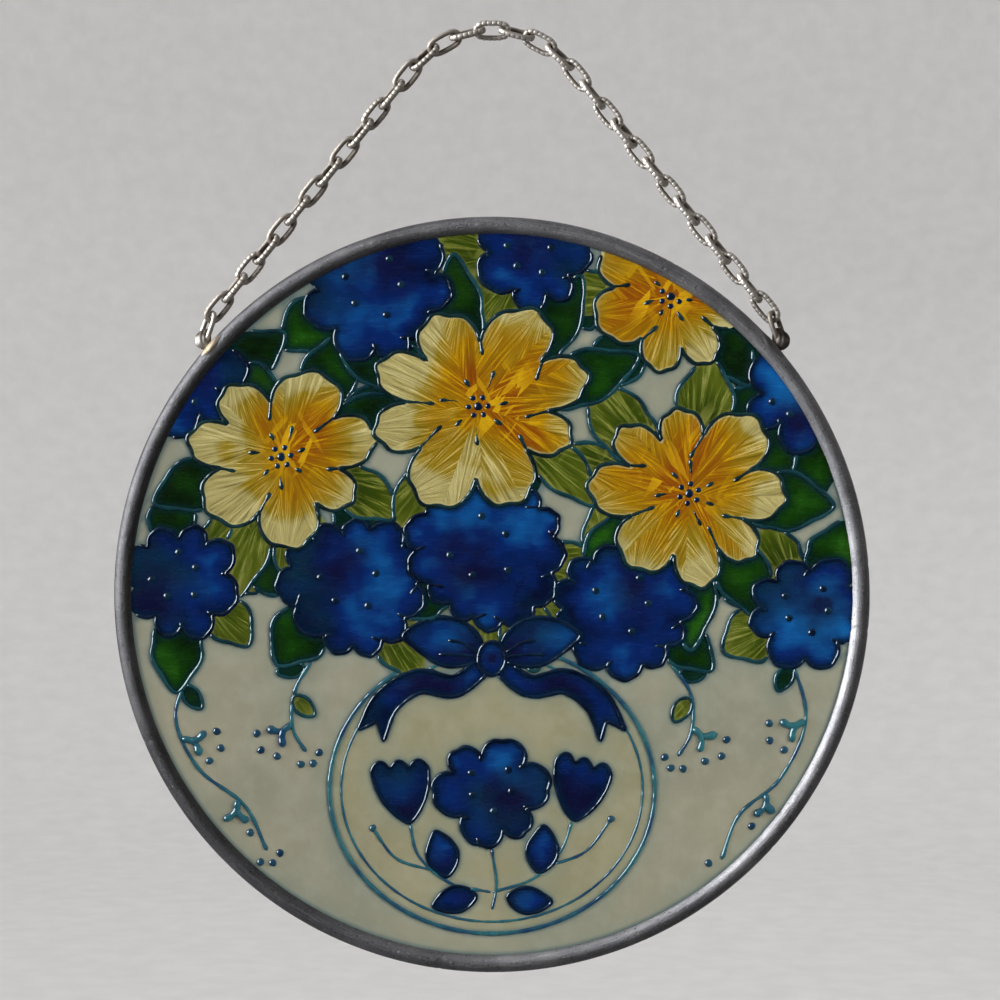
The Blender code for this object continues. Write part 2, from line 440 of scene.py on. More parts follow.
def rim_finish():
    """Grey oxidised lead: matt, with drawn streaks, dark pits, pale flecks; painted shade on the
    left.
    """
    finish = Finish("satin_came", Metallic=0.93)
    streak = finish.noise(finish.attribute("drawn", "Vector"), 9.0, 5.0, 0.65)
    cloud = finish.noise(finish.place(), 110.0, 4.0)
    pits = finish.noise(finish.place(), 1900.0, 2.0)
    flecks = finish.noise(finish.stretched(finish.place(), (1.0, 1.7, 1.3)), 1500.0, 3.0, 0.7)
    base = finish.ramp(cloud, (0.3, (0.170, 0.166, 0.176)), (0.55, (0.265, 0.258, 0.270)),
                       (0.75, (0.375, 0.365, 0.375)))
    base = finish.mix(finish.ramp(streak, (0.48, 0.0), (0.72, 0.7)), base, (0.50, 0.49, 0.495))
    dark_pits = finish.ramp(pits, (0.27, 0.35), (0.38, 1.0))
    base = finish.mix(1.0, base, dark_pits, "MULTIPLY")
    pale_flecks = finish.ramp(flecks, (0.615, 0.0), (0.66, 0.75))
    base = finish.mix(pale_flecks, base, (0.55, 0.54, 0.55))
    # painted shade: the rim's colour darkens towards its left side, which dims the lamp's glint on
    # that flank
    across = finish.parts(finish.attribute("drawn", "Vector"))["X"]
    from_left = finish.math("ADD", finish.math("MULTIPLY", across, 0.5), 0.5)
    left_shade = finish.ramp(from_left, (0.05, 0.38), (0.60, 1.0))
    finish.colour(finish.mix(1.0, base, left_shade, "MULTIPLY"))
    finish.roughness(finish.ramp(streak, (0.3, 0.40), (0.7, 0.60)))
    rough = finish.math("ADD", pits, finish.math("MULTIPLY", streak, 0.8))
    rough = finish.math("ADD", rough, finish.math("MULTIPLY", cloud, 1.5))
    finish.relief(rough, 0.00011, 0.8)
    return finish


rim = add_piece("rim_came", rim_mesh(), rim_finish())
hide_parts("rim")
print("rim", len(rim.data.polygons), "faces")

# %% [markdown]
# ## The chain
# Each link is an oval of wire with a row of small bright facets milled along the outer edge of
# one face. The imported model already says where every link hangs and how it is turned: the
# three main directions of its points are its length, its width and its thickness. A finer link
# is built once in flat form, and then laid into those directions for each of the 33.

# %% Read each link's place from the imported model


def main_directions(node):
    """Middle of a node, its three main directions, longest first, and its size along them."""
    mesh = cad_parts[node].data
    points = np.empty(len(mesh.vertices) * 3, np.float32)
    mesh.vertices.foreach_get("co", points)
    points = np.unique(np.round(points.reshape(-1, 3).astype(float), 7), axis=0)
    middle = (points.min(0) + points.max(0)) / 2
    spread, axes = np.linalg.eigh(np.cov((points - middle).T))
    axes = axes.T[np.argsort(-spread)]
    sizes = np.ptp((points - middle) @ axes.T, axis=0)
    if np.linalg.det(axes) < 0:
        axes[2] = -axes[2]
    return middle, axes, sizes


LINK_NAMES = sorted(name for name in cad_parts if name.startswith("link_"))
link_places = {name: main_directions(name) for name in LINK_NAMES}
_, _, link_size = link_places[LINK_NAMES[0]]
print(f"{len(LINK_NAMES)} links of {link_size[0] / MM:.2f} x {link_size[1] / MM:.2f} mm")

# %% Build one milled link
LINK_WIRE = 1.2 * MM             # width of the wire, which is pressed a little deeper than wide
BLUNTNESS = 3.0                  # more than 2 makes the ends of the oval blunter
FACET_PITCH = 1.12 * MM          # from one milled facet to the next
FACET_FLAT = 0.05 * MM           # how far a facet is cut into the round wire
GROOVE_DEPTH = 0.11 * MM         # how much deeper the grooves between them are
FACET_LEAN = math.radians(42)    # from the link's outer edge towards its milled face
OVAL_STEPS = 168
WIRE_STEPS = 16
BASE_TARNISH = 0.32              # 0 is bright metal and 1 is fully tarnished
FACET_SHINE = 0.34               # how much less the milled facets have
GROOVE_TARNISH = 0.26            # how much more the grooves between them have
INNER_TARNISH = 0.9              # the least that the inner side of the oval has


def oval_line(length, width, steps):
    """Points and outward directions along a blunt-ended oval in its own plane."""
    turn = np.linspace(0, 2 * math.pi, steps, endpoint=False)
    blunt = [np.sign(v) * np.abs(v) ** (2 / BLUNTNESS) for v in (np.cos(turn), np.sin(turn))]
    fine = np.stack([length / 2 * blunt[0], width / 2 * blunt[1]], -1)
    steps_between = np.linalg.norm(np.roll(fine, -1, 0) - fine, axis=1)
    walked = np.concatenate([[0], np.cumsum(steps_between)])
    even = np.linspace(0, walked[-1], steps, endpoint=False)
    ring = np.vstack([fine, fine[:1]])
    line = np.stack([np.interp(even, walked, ring[:, axis]) for axis in (0, 1)], -1)
    tangent = np.roll(line, -1, 0) - np.roll(line, 1, 0)
    tangent /= np.linalg.norm(tangent, axis=1)[:, None]
    return line, np.stack([tangent[:, 1], -tangent[:, 0]], -1), even


def wire_oval(length, width, wire, depth, milled):
    """Points of an oval of wire, and how tarnished each one is."""
    line, outward, walked = oval_line(length - wire, width - wire, OVAL_STEPS)
    around = np.linspace(0, 2 * math.pi, WIRE_STEPS, endpoint=False)
    facing_out = np.cos(around)[None]
    long_side = np.clip(2.2 * np.abs(outward[:, 1]) ** 2.2 - 0.1, 0, 1)[:, None] * milled
    row = np.clip(1.25 * np.cos(around - FACET_LEAN), 0, 1)[None] ** 1.6 * long_side
    groove = (0.5 + 0.5 * np.cos(2 * math.pi * walked / FACET_PITCH))[:, None] ** 4
    cut = row * (FACET_FLAT + GROOVE_DEPTH * groove)
    across = (wire / 2 - cut) * facing_out
    thick = (depth / 2 - cut) * np.sin(around)[None]
    points = np.stack([line[:, :1] + outward[:, :1] * across,
                       line[:, 1:] + outward[:, 1:] * across, thick + 0 * across], -1)
    hidden = np.clip(-facing_out * INNER_TARNISH, 0, 1) + 0 * cut
    tarnish = np.maximum(BASE_TARNISH - FACET_SHINE * row * (1 - groove)
                         + GROOVE_TARNISH * row * groove, hidden)
    return points.reshape(-1, 3), np.clip(tarnish, 0, 1).ravel()


# %% Hang all the links


def silver_finish():
    """Warm worn silver: bright on the facets, dark tarnish in grooves and inside bends."""
    finish = Finish("antique_silver", Metallic=0.92)
    patch = finish.noise(finish.place(), 420.0, 4.0, 0.6)
    grain = finish.noise(finish.place(), 3000.0, 2.0)
    hidden = finish.math("ADD", finish.attribute("tarnish"), finish.swing(patch, 0.8))
    finish.colour(finish.ramp(hidden, (0.02, (0.70, 0.66, 0.61)), (0.30, (0.54, 0.49, 0.435)),
                              (0.70, (0.33, 0.29, 0.25)), (1.0, (0.15, 0.125, 0.105))))
    finish.roughness(finish.ramp(hidden, (0.1, 0.53), (0.8, 0.68)))
    finish.relief(grain, 0.00003, 0.5)
    return finish


def laid_in(points, middle, axes):
    """Points of a flat oval, laid into the directions of its place."""
    return points @ axes + middle


def facet_side_first(place, flip):
    """The same directions turned so that the milled face looks to the front, or away."""
    middle, axes, size = place
    if (axes[2][1] > 0) != flip:
        axes = axes * np.array([[1.0], [-1.0], [-1.0]])
    return middle, axes, size


SHOWN_ON_LEFT = 4                # one wide link in so many shows its milled face on the left
DULLER_LEFT = 0.22               # how much darker the left half of the chain is
CHAIN_HALVES = -3 * MM           # where the left half ends
# a link is seen edge-on if its thickness points to the front by less than this
EDGE_ON = 0.7


def is_turned_away(number, place):
    """Whether a link's milled face looks to the back: no chain lies without a few turns."""
    middle, axes, _ = place
    edge_on = abs(axes[2][1]) < EDGE_ON
    if middle[0] > CHAIN_HALVES:
        return edge_on
    return not edge_on and number // 2 % SHOWN_ON_LEFT != 1


silver = silver_finish()
link_points, link_tarnish = wire_oval(*link_size[:2], LINK_WIRE, link_size[2], milled=1)
link_faces = closed_grid(OVAL_STEPS, WIRE_STEPS)
for number, name in enumerate(LINK_NAMES):
    place = link_places[name]
    middle, axes, _ = facet_side_first(place, is_turned_away(number, place))
    mesh = mesh_from(f"{name}_milled", laid_in(link_points, middle, axes), link_faces)
    store(mesh, "tarnish", "FLOAT", "POINT",
          link_tarnish + DULLER_LEFT * (middle[0] < CHAIN_HALVES))
    link = add_piece(f"{name}_milled", mesh, silver)
    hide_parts(name)
print("links hung:", len(LINK_NAMES), "with", len(link_faces), "faces each")

# %% [markdown]
# ## The soldered eyes
# The lowest link on each side is hooked into a plain wire eye, and the eye is fixed to the rim
# with a drop of solder that has run a little way along the metal. The eye continues the
# chain's line, so its place is worked out from the two lowest links.

# %% Where the eyes stand
EYE_LENGTH = 7.6 * MM
EYE_WIDTH = 4.6 * MM
EYE_WIRE = 1.1 * MM
EYE_TILT = math.radians(71.0)
EYE_ROLL = math.radians(-55.0)
HOOK_OFFSET = 0.875 * MM         # from the joint to the wires that meet there


def eye_place(end_link, next_link):
    """Middle and directions of the eye below a chain end, its soldered foot, and its lean."""
    end, following = (link_places[name][0] for name in (end_link, next_link))
    joint = end + (end - following) / 2
    side = math.copysign(1.0, joint[0])
    upward = np.array([-side * math.cos(EYE_TILT), 0.0, math.sin(EYE_TILT)])
    top = joint + upward * HOOK_OFFSET
    foot = top - upward * (EYE_LENGTH - EYE_WIRE)
    turned = Matrix.Rotation(side * EYE_TILT, 3, "Y") @ Matrix.Rotation(EYE_ROLL, 3, "X")
    axes = np.array([turned @ Vector(axis) for axis in ((1, 0, 0), (0, 0, 1), (0, -1, 0))])
    return (top + foot) / 2, axes, foot, upward


# %% A drop of solder, and the thin film that ran from it along the rim
DROP_HALF = (1.75, 1.50, 2.30)   # mm: out from the eye's line, front to back, along the line
DROP_SHIFT = (-0.10, -0.45, 0.55)    # mm from the eye's foot to the drop's middle, the same ways
FILM_LENGTH = 3.5 * MM           # from the film's middle to either end
FILM_RISE = 0.6 * MM             # how far its middle lies above the eye's foot
FILM_PROUD = 0.16 * MM
FILM_SUNK = 0.12 * MM            # how deep its underside lies in the rim
FILM_LEAN = math.radians(52)     # its middle, from the crest of the rim's face outwards
FILM_SPREAD = math.radians(46)   # from there to either side
FILM_STEPS = (44, 22)


def solder_drop(foot, upward, side, breadth):
    """A rounded lump around the eye's foot, longest along the eye; burnt where the eye leaves."""
    up = Vector(upward)
    outward = Vector((up.z, 0.0, -up.x)) * side
    half_out, half_deep, half_up = DROP_HALF
    shift_out, shift_deep, shift_up = DROP_SHIFT
    burnt = []
    bm = bmesh.new()
    bmesh.ops.create_icosphere(bm, subdivisions=5, radius=1.0)
    for vert in bm.verts:
        x, y, z = vert.co
        lump = 1 + 0.06 * math.sin(5 * x + 2 * y) * math.cos(4 * z - 3 * x)
        lump += 0.03 * math.sin(11 * x - 7 * z) * math.cos(9 * y)
        narrow = 1 - 0.18 * z
        burnt.append(min(max(0.5 + 0.9 * z + 0.25 * x, 0.0), 1.0))
        vert.co = Vector(foot) + (
            up * (z * half_up * breadth * lump + shift_up) * MM
            + Vector((0.0, 1.0, 0.0)) * (y * half_deep * lump * narrow + shift_deep) * MM
            + outward * (x * half_out * breadth * lump * narrow + shift_out) * MM)
    points = np.array([tuple(vert.co) for vert in bm.verts])
    faces = [[vert.index for vert in face.verts] for face in bm.faces]
    bm.free()
    return points, faces, burnt


def solder_film(foot, side):
    """A closed film over the outer half of the rim's face, thickest in its middle."""
    spoke = Vector(foot) - MIDDLE
    start = math.atan2(spoke.z, spoke.x)
    lengthwise = np.linspace(-1, 1, FILM_STEPS[0])
    crosswise = np.linspace(-1, 1, FILM_STEPS[1])
    run, over = np.meshgrid(lengthwise, crosswise, indexing="ij")
    turn = start - side * (run * FILM_LENGTH - FILM_RISE) / RIM_RADIUS
    ragged = 1 + 0.16 * np.sin(4 * run + 1.0)
    lean = FILM_LEAN + over * FILM_SPREAD * ragged * np.sqrt(1.02 - run ** 2)
    cover = np.clip((1 - run ** 2) * (1 - over ** 2), 0, 1) ** 0.6
    half, crest = RIM_FACE_WIDTH / 2, -rim_low.y - RIM_SHOULDER
    sheets = []
    for proud in (FILM_PROUD * cover, np.full_like(cover, -FILM_SUNK)):
        across = RIM_RADIUS - half + (half + proud) * np.sin(lean)
        depth = np.maximum(-RIM_SHOULDER - (crest + proud) * np.cos(lean), rim_low.y + TINY)
        sheets.append(np.stack([across * np.cos(turn), depth, across * np.sin(turn)], -1))
    rows, columns = run.shape
    points = np.concatenate([sheet.reshape(-1, 3) for sheet in sheets]) + np.array(MIDDLE)
    index = np.arange(rows * columns).reshape(rows, columns)
    top = np.stack([index[:-1, :-1], index[1:, :-1], index[1:, 1:], index[:-1, 1:]], -1)
    border = np.concatenate([index[:, 0], index[-1, 1:], index[-2::-1, -1], index[0, -2:0:-1]])
    following = np.roll(border, -1)
    wall = np.stack([border, border + rows * columns, following + rows * columns, following], -1)
    top = top.reshape(-1, 4)
    faces = np.concatenate([top, top[:, ::-1] + rows * columns, wall])
    burnt = np.clip(0.40 - 0.8 * over - 0.4 * run, 0, 1).ravel()
    return points, faces.tolist(), np.tile(burnt, 2), np.tile(cover.ravel(), 2)


def solder_finish(name, dark, middle, bright, stain, burn, under, rough, smooth):
    """Tin with a flux stain and a cold, frosted skin; the metal under it shows where it is thin."""
    finish = Finish(name, Metallic=0.95)
    patch = finish.noise(finish.place(), 420.0, 3.0, 0.5)
    tin = finish.ramp(patch, (0.30, dark), (0.44, middle), (0.60, bright), (0.74, stain))
    burnt = finish.math("ADD", finish.attribute("burnt"), finish.swing(patch, 0.8))
    tin = finish.mix(finish.ramp(burnt, (0.45, 0.0), (0.85, 0.9)), tin, burn)
    thick = finish.math("ADD", finish.attribute("cover"), finish.swing(patch, 0.5))
    finish.colour(finish.mix(finish.ramp(thick, (0.30, 0.0), (0.88, 1.0)), under, tin))
    finish.roughness(finish.ramp(patch, (0.35, rough), (0.65, smooth)))
    finish.relief(finish.noise(finish.place(), 900.0, 3.0), 0.00006, 0.5)
    return finish


# %% Fix both eyes: a bright full drop on the left, a flat one on the right, darker partly as duller tin and partly as painted shade
SHADED_LEFT_GREY = (0.10, 0.098, 0.104)     # the rim's colour on its left, darkened by painted shade
RIGHT_GREY = (0.24, 0.235, 0.245)
# the right eye has more tarnish, partly real and partly painted shade
EYE_TARNISH_AND_SHADE = {"left": 0.08, "right": 0.55}
BREADTH = {"left": 1.0, "right": 1.08}    # the right drop has spread, and so looks flatter
DROP_FINISH = {
    "left": solder_finish(
        "bright_solder", dark=(0.23, 0.21, 0.19), middle=(0.38, 0.355, 0.32),
        bright=(0.50, 0.47, 0.43), stain=(0.42, 0.35, 0.25), burn=(0.08, 0.062, 0.048),
        under=SHADED_LEFT_GREY, rough=0.74, smooth=0.62),
    # darker tin on the right, partly real and partly painted shade
    "right": solder_finish(
        "dull_shaded_solder", dark=(0.10, 0.083, 0.071), middle=(0.17, 0.147, 0.128),
        bright=(0.27, 0.24, 0.215), stain=(0.34, 0.28, 0.21), burn=(0.055, 0.040, 0.030),
        under=RIGHT_GREY, rough=0.66, smooth=0.48),
}
FILM_FINISH = {
    "left": solder_finish(
        "flux_stained_film", dark=(0.28, 0.22, 0.145), middle=(0.40, 0.33, 0.23),
        bright=(0.52, 0.45, 0.33), stain=(0.38, 0.23, 0.10), burn=(0.060, 0.036, 0.020),
        under=SHADED_LEFT_GREY, rough=0.66, smooth=0.52),
    # a darker film on the right, partly real and partly painted shade
    "right": solder_finish(
        "dull_shaded_film", dark=(0.16, 0.15, 0.15), middle=(0.21, 0.20, 0.20),
        bright=(0.27, 0.255, 0.245), stain=(0.23, 0.20, 0.17), burn=(0.09, 0.075, 0.065),
        under=RIGHT_GREY, rough=0.66, smooth=0.56),
}
eye_points, eye_tarnish = wire_oval(EYE_LENGTH, EYE_WIDTH, EYE_WIRE, EYE_WIRE, milled=0)
for side_name, end_link, next_link in (("left", LINK_NAMES[0], LINK_NAMES[1]),
                                       ("right", LINK_NAMES[-1], LINK_NAMES[-2])):
    middle, axes, foot, upward = eye_place(end_link, next_link)
    side = math.copysign(1.0, foot[0])
    mesh = mesh_from(f"eye_{side_name}", laid_in(eye_points, middle, axes), link_faces)
    store(mesh, "tarnish", "FLOAT", "POINT", eye_tarnish * 0.5 + EYE_TARNISH_AND_SHADE[side_name])
    eye = add_piece(f"eye_{side_name}", mesh, silver)
    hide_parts(f"loop_{side_name}")
    *shape, burnt = solder_drop(foot, upward, side, BREADTH[side_name])
    drop = mesh_from(f"solder_{side_name}", *shape)
    store(drop, "burnt", "FLOAT", "POINT", burnt)
    store(drop, "cover", "FLOAT", "POINT", np.ones(len(burnt)))
    add_piece(f"solder_{side_name}", drop, DROP_FINISH[side_name])
    *shape, burnt, cover = solder_film(foot, side)
    film = mesh_from(f"solder_film_{side_name}", *shape, sharp=60)
    store(film, "burnt", "FLOAT", "POINT", burnt)
    store(film, "cover", "FLOAT", "POINT", cover)
    add_piece(f"solder_film_{side_name}", film, FILM_FINISH[side_name])
    print(f"eye_{side_name} foot is {np.linalg.norm(foot - np.array(MIDDLE)) / MM:.1f} mm out")

# %% [markdown]
# ## The clear disc
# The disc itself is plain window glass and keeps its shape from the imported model. Only its
# finish is new: clear, with a trace of green. Shadow rays pass straight through it, because
# path tracing can't aim light through a refracting pane, and the paint would stay dark.

# %% Clear glass finish


def clear_glass_finish():
    """Clear glass that lets shadow rays straight through."""
    finish = Finish("clear_glass", Transmission_Weight=1.0, IOR=1.5)
    smear = finish.noise(finish.place(), 45.0, 3.0)
    finish.colour(finish.ramp(smear, (0.35, (0.93, 0.97, 0.95)), (0.65, (0.97, 0.99, 0.98))))
    finish.roughness(finish.ramp(smear, (0.4, 0.015), (0.75, 0.05)))
    lets_light_by = finish.node("ShaderNodeBsdfTransparent", {"Color": (0.92, 0.96, 0.94, 1.0)})
    is_shadow = finish.node("ShaderNodeLightPath").outputs["Is Shadow Ray"]
    both = finish.node("ShaderNodeMixShader", {0: is_shadow, 1: finish.shader.outputs["BSDF"],
                                               2: lets_light_by.outputs["BSDF"]})
    output = finish.nodes["Material Output"]
    finish.link(both.outputs["Shader"], output.inputs["Surface"])
    return finish


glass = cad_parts["glass_disc"]
for slot in glass.material_slots:
    slot.material = clear_glass_finish().material
print(f"glass {(GLASS_BACK - GLASS_FRONT) / MM:.1f} mm thick keeps its own mesh")

# %% [markdown]
# ## Drawing the picture
# A glass painter first draws a full-size paper pattern and lays it under the glass. Here the
# pattern is a list of motifs, from the back of the picture to its front, each with a closed
# outline in millimetres from the disc's middle. Every flower comes from one formula, a circle
# whose radius swells into petals, with an uneven turn so that no two petals match.

# %% Petals from a formula
OUTLINE_STEP = 0.55              # mm between points of an outline
TEETH_PER_PETAL = 3
TIP_NOTCH_WIDTH = 0.24           # half of it, on a scale where a petal is pi wide


def evenly(points, step=OUTLINE_STEP, closed=True):
    """The same line with a point about every step."""
    points = np.asarray(points, float)
    if closed:
        points = np.vstack([points, points[:1]])
    walked = np.concatenate([[0], np.cumsum(np.linalg.norm(np.diff(points, axis=0), axis=1))])
    count = max(6, int(round(walked[-1] / step)))
    places = np.linspace(0, walked[-1], count, endpoint=not closed)
    return np.stack([np.interp(places, walked, points[:, axis]) for axis in (0, 1)], -1)


def softened(points, rounds):
    """The same closed line with its corners rounded, as a nozzle of paste rounds them."""
    loop = evenly(points, OUTLINE_STEP / 2)
    for _ in range(rounds):
        loop = (np.roll(loop, 1, axis=0) + 2 * loop + np.roll(loop, -1, axis=0)) / 4
    return loop


def direction(turn):
    """A step of length 1 at each angle."""
    return np.stack([np.cos(turn), np.sin(turn)], -1)


def petal_line(heart, reach, petals, turn, waist, taper, teeth=0.0, tip_notch=0.0):
    """Outline of a flower: waist is how far out the notches between the petals end, taper how
    much the petals narrow towards their tips, teeth how far the tips are scalloped and
    tip_notch how deep each petal is nicked in its middle."""
    around = np.linspace(0, 2 * math.pi, 90 * petals, endpoint=False)
    swayed = around + 0.9 / petals * np.sin(2 * around + 5 * turn) + turn
    lobe = np.abs(np.sin(petals * swayed / 2))
    radius = waist + (1 - waist) * lobe ** taper
    radius = radius - teeth * np.cos(TEETH_PER_PETAL * petals * swayed) * lobe ** 2
    radius = radius - tip_notch * np.exp(-(np.arccos(np.clip(lobe, 0, 1)) / TIP_NOTCH_WIDTH) ** 2)
    radius = radius * (1 + 0.05 * np.sin(2 * around + 3 * turn) + 0.05 * np.sin(3 * around - turn))
    return np.array(heart) + reach * radius[:, None] * direction(around)


# %% Leaves, buds, bands and ovals
def leaf_line(base, turn, length, width, bend, teeth=2.5):
    """A pointed leaf with a bent spine and softly toothed edges."""
    along = np.linspace(0, 1, 60)
    curved = turn + bend * (along - 0.3)
    steps = direction(curved) * length / len(along)
    spine = np.array(base) + np.cumsum(steps, axis=0)
    half = width / 2 * np.sin(math.pi * along ** 0.85) ** 0.8
    half = half * (1 + 0.16 * np.abs(np.sin(teeth * math.pi * along)))
    side = direction(curved + math.pi / 2)
    return np.vstack([spine + side * half[:, None], (spine - side * half[:, None])[::-1]])


def tulip_line(base, turn, length, width):
    """A bud in side view: a round cup with three pointed teeth at its mouth."""
    mouth = np.linspace(-1, 1, 61)
    teeth = 0.86 + 0.14 * np.abs(np.cos(1.5 * math.pi * mouth)) + 0.05 * mouth
    sides = np.linspace(0, 1, 30)
    swell = np.sin(math.pi / 2 * sides ** 0.75)
    right = np.stack([swell * width / 2, sides * length * 0.86], -1)
    top = np.stack([-mouth * width / 2, teeth * length], -1)
    left = right[::-1] * (-1, 1)
    flat = np.vstack([right[:-1], top, left[1:]])
    ahead, across = direction(turn), direction(turn - math.pi / 2)
    return np.array(base) + flat[:, 1:] * ahead + flat[:, :1] * across


def smooth_path(knots):
    """An open curve through a few chosen points."""
    knots = np.array(knots, float)
    padded = np.vstack([2 * knots[0] - knots[1], knots, 2 * knots[-1] - knots[-2]])
    parts = []
    for start in range(len(knots) - 1):
        a, b, c, d = padded[start:start + 4]
        t = np.linspace(0, 1, 16, endpoint=False)[:, None]
        parts.append(0.5 * (2 * b + (c - a) * t + (2 * a - 5 * b + 4 * c - d) * t ** 2
                            + (3 * b - a - 3 * c + d) * t ** 3))
    return evenly(np.vstack(parts + [knots[-1:]]), closed=False)


def band_line(knots, start_width, end_width):
    """A strip along a smooth path, such as the tail of a ribbon, with a notched end."""
    path = smooth_path(knots)
    tangent = np.gradient(path, axis=0)
    tangent /= np.linalg.norm(tangent, axis=1)[:, None]
    side = np.stack([-tangent[:, 1], tangent[:, 0]], -1)
    half = np.linspace(start_width, end_width, len(path))[:, None] / 2
    notch = path[-1] - tangent[-1] * end_width * 0.6
    return np.vstack([path + side * half, notch[None], (path - side * half)[::-1]])


def oval_ring(middle, half_width, half_height):
    """A plain oval, or a circle if both halves are the same."""
    around = np.linspace(0, 2 * math.pi, 400, endpoint=False)
    return np.array(middle) + direction(around) * (half_width, half_height)


# %% The list of motifs, from the back of the picture to its front
PICTURE_RADIUS = 78.9            # mm, just under the rim's lip
picture = []


def anticlockwise(loop):
    """The same loop, walked with its inside on the left."""
    x, y = loop.T
    doubled_area = np.sum(x * np.roll(y, -1) - y * np.roll(x, -1))
    return loop if doubled_area > 0 else loop[::-1]


ROUNDING = {"ribbon": 3, "sprig bud": 4}    # rounds of softening, 8 unless named here


class Motif:
    """One closed shape filled with one enamel."""

    def __init__(self, enamel, outline, heart, reach, facets=0, turn=0.0, kind="plain",
                 paleness=0.0):
        self.enamel = enamel
        self.outline = anticlockwise(evenly(softened(outline, ROUNDING.get(kind, 8))))
        self.heart = np.array(heart, float)
        self.reach = reach
        self.facets = facets
        self.turn = turn
        self.kind = kind
        self.paleness = paleness
        self.order = len(picture)
        picture.append(self)


MEDALLION = ((0, -42.5), 35.5, 31.5)    # mm: middle, half width and half height
ground = Motif("frost", oval_ring((0, 0), PICTURE_RADIUS, PICTURE_RADIUS), (0, 0), PICTURE_RADIUS)
medallion = Motif("cream", oval_ring(*MEDALLION), MEDALLION[0], MEDALLION[2])

# %% Tendrils that hang from the garland, with small leaves along them
# the side that a tendril's first shoot leans to, and its path
TENDRILS = (
    (1, ((-66, -17), (-69, -27), (-64, -38), (-54, -46), (-49, -56))),
    (-1, ((65, -13), (68.5, -27), (63, -40), (54, -48), (50, -58))),
    (-1, ((-39, -14), (-43, -21), (-43.5, -29), (-40.5, -34.5))),
    (1, ((39, -15), (43.5, -22), (43.5, -30), (40.5, -35.5))),
)
SHOOT_GAP = 6.5                  # mm between the side shoots of a tendril
SHOOT_LEAN = 0.95                # radians between a shoot and its tendril
SHOOT_LIMIT = 71                 # mm from the middle, no small leaf starts further out
SMALL_LEAF = (6.8, 3.8)          # mm, length and width


def side_shoots(side, path):
    """Where small leaves and twigs leave a tendril, to the left and right by turns."""
    stride = int(SHOOT_GAP / OUTLINE_STEP)
    for number, index in enumerate(range(stride // 2, len(path) - 4, stride)):
        ahead = path[index + 1] - path[index - 1]
        lean = SHOOT_LEAN * side * (-1) ** number
        yield number, path[index], math.atan2(ahead[1], ahead[0]) + lean


for side, knots in TENDRILS:
    for number, place, turn in side_shoots(side, smooth_path(knots)):
        if number % 3 != 2 and np.hypot(*place) < SHOOT_LIMIT:
            leaf = leaf_line(place, turn, *SMALL_LEAF, bend=0.5, teeth=0.0)
            Motif("olive" if number % 3 else "leaf", leaf, place, SMALL_LEAF[0], turn=turn,
                  kind="small leaf")

# %% Where the flowers lie
# middle x and y, reach, petals, start of the first petal, how far out the notches end, and
# for the gold ones how much paler than usual
BLUE_FLOWERS = (
    (-25, 66, 16, 9, 0.3, 0.72), (9, 74, 12.5, 7, 0.4, 0.66), (67, 43, 12.4, 5, 0.9, 0.52),
    (-66, 46, 12.3, 5, 0.2, 0.52), (-68, 3, 13, 8, 0.7, 0.70), (69, -4, 12.8, 8, 0.1, 0.70),
    (-30, 2, 15.8, 11, 0.5, 0.80), (29, -3, 15.4, 11, 0.2, 0.80), (-1, 9, 17, 13, 0.8, 0.83),
)
GOLD_FLOWERS = (
    (39, 65, 17, 7, 0.5, 0.60, -0.05), (-46, 30, 20, 7, 0.15, 0.58, 0.32),
    (43, 22, 20.8, 8, 0.35, 0.60, 0.02), (-3, 41, 23.4, 8, 0.05, 0.58, 0.12),
)

# %% Leaves fanned out behind every flower
GOLDEN_ANGLE = 2.4
LEAVES_PER_FLOWER = 7
LEAF_FLOOR = -22                 # mm, no leaf hangs lower than this
LEAF_LIMIT = 82                  # mm from the middle, no tip reaches further
LEAF_ROOT = 0.45                 # how far from the heart a leaf starts, as a share of the reach
LEAF_GROWTH = 0.80               # how much longer a leaf is for each mm of the flower's reach
for number, (x, y, reach, *_) in enumerate(BLUE_FLOWERS + GOLD_FLOWERS):
    for count in range(LEAVES_PER_FLOWER):
        turn = GOLDEN_ANGLE * (LEAVES_PER_FLOWER * number + count) + 0.3
        base = np.array((x, y)) + LEAF_ROOT * reach * direction(turn)
        length = LEAF_GROWTH * reach + 6.5 + 2 * math.sin(3 * turn)
        tip = base + length * direction(turn)
        if np.hypot(*tip) > LEAF_LIMIT or tip[1] < LEAF_FLOOR:
            continue
        enamel = "olive" if (number + 2 * count) % 5 < 2 else "leaf"
        Motif(enamel, leaf_line(base, turn, length, 10.5 + 1.5 * math.cos(5 * turn),
                                0.5 * math.sin(2 * turn)), base, length, turn=turn, kind="leaf")

# %% Blue flowers, gold flowers, and the bow in front of them
for x, y, reach, petals, turn, waist in BLUE_FLOWERS:
    flower = petal_line((x, y), reach, petals, turn, waist, taper=0.55, teeth=0.020)
    Motif("blue", flower, (x, y), reach, turn=turn, kind="blue flower")
for x, y, reach, petals, turn, waist, paleness in GOLD_FLOWERS:
    flower = petal_line((x, y), reach, petals, turn, waist, taper=0.48, teeth=0.036,
                        tip_notch=0.02)
    Motif("gold", flower, (x, y), reach, facets=2 * petals, turn=turn, kind="gold flower",
          paleness=paleness)

BOW = (0, -14)
for side in (-1, 1):
    Motif("blue", band_line([BOW, (side * 8, -20), (side * 16, -19), (side * 23, -23.5),
                             (side * 26.5, -31)], 3.6, 6.2), (side * 14, -20), 22, kind="ribbon")
for side in (-1, 1):
    Motif("blue", leaf_line((side * 1.5, BOW[1]), math.radians(90 - side * 68), 19, 10.5,
                            bend=-side * 0.6, teeth=0.0), (side * 4, BOW[1]), 17, kind="ribbon")
Motif("blue", oval_ring(BOW, 3.0, 3.7), BOW, 3.7, kind="ribbon")

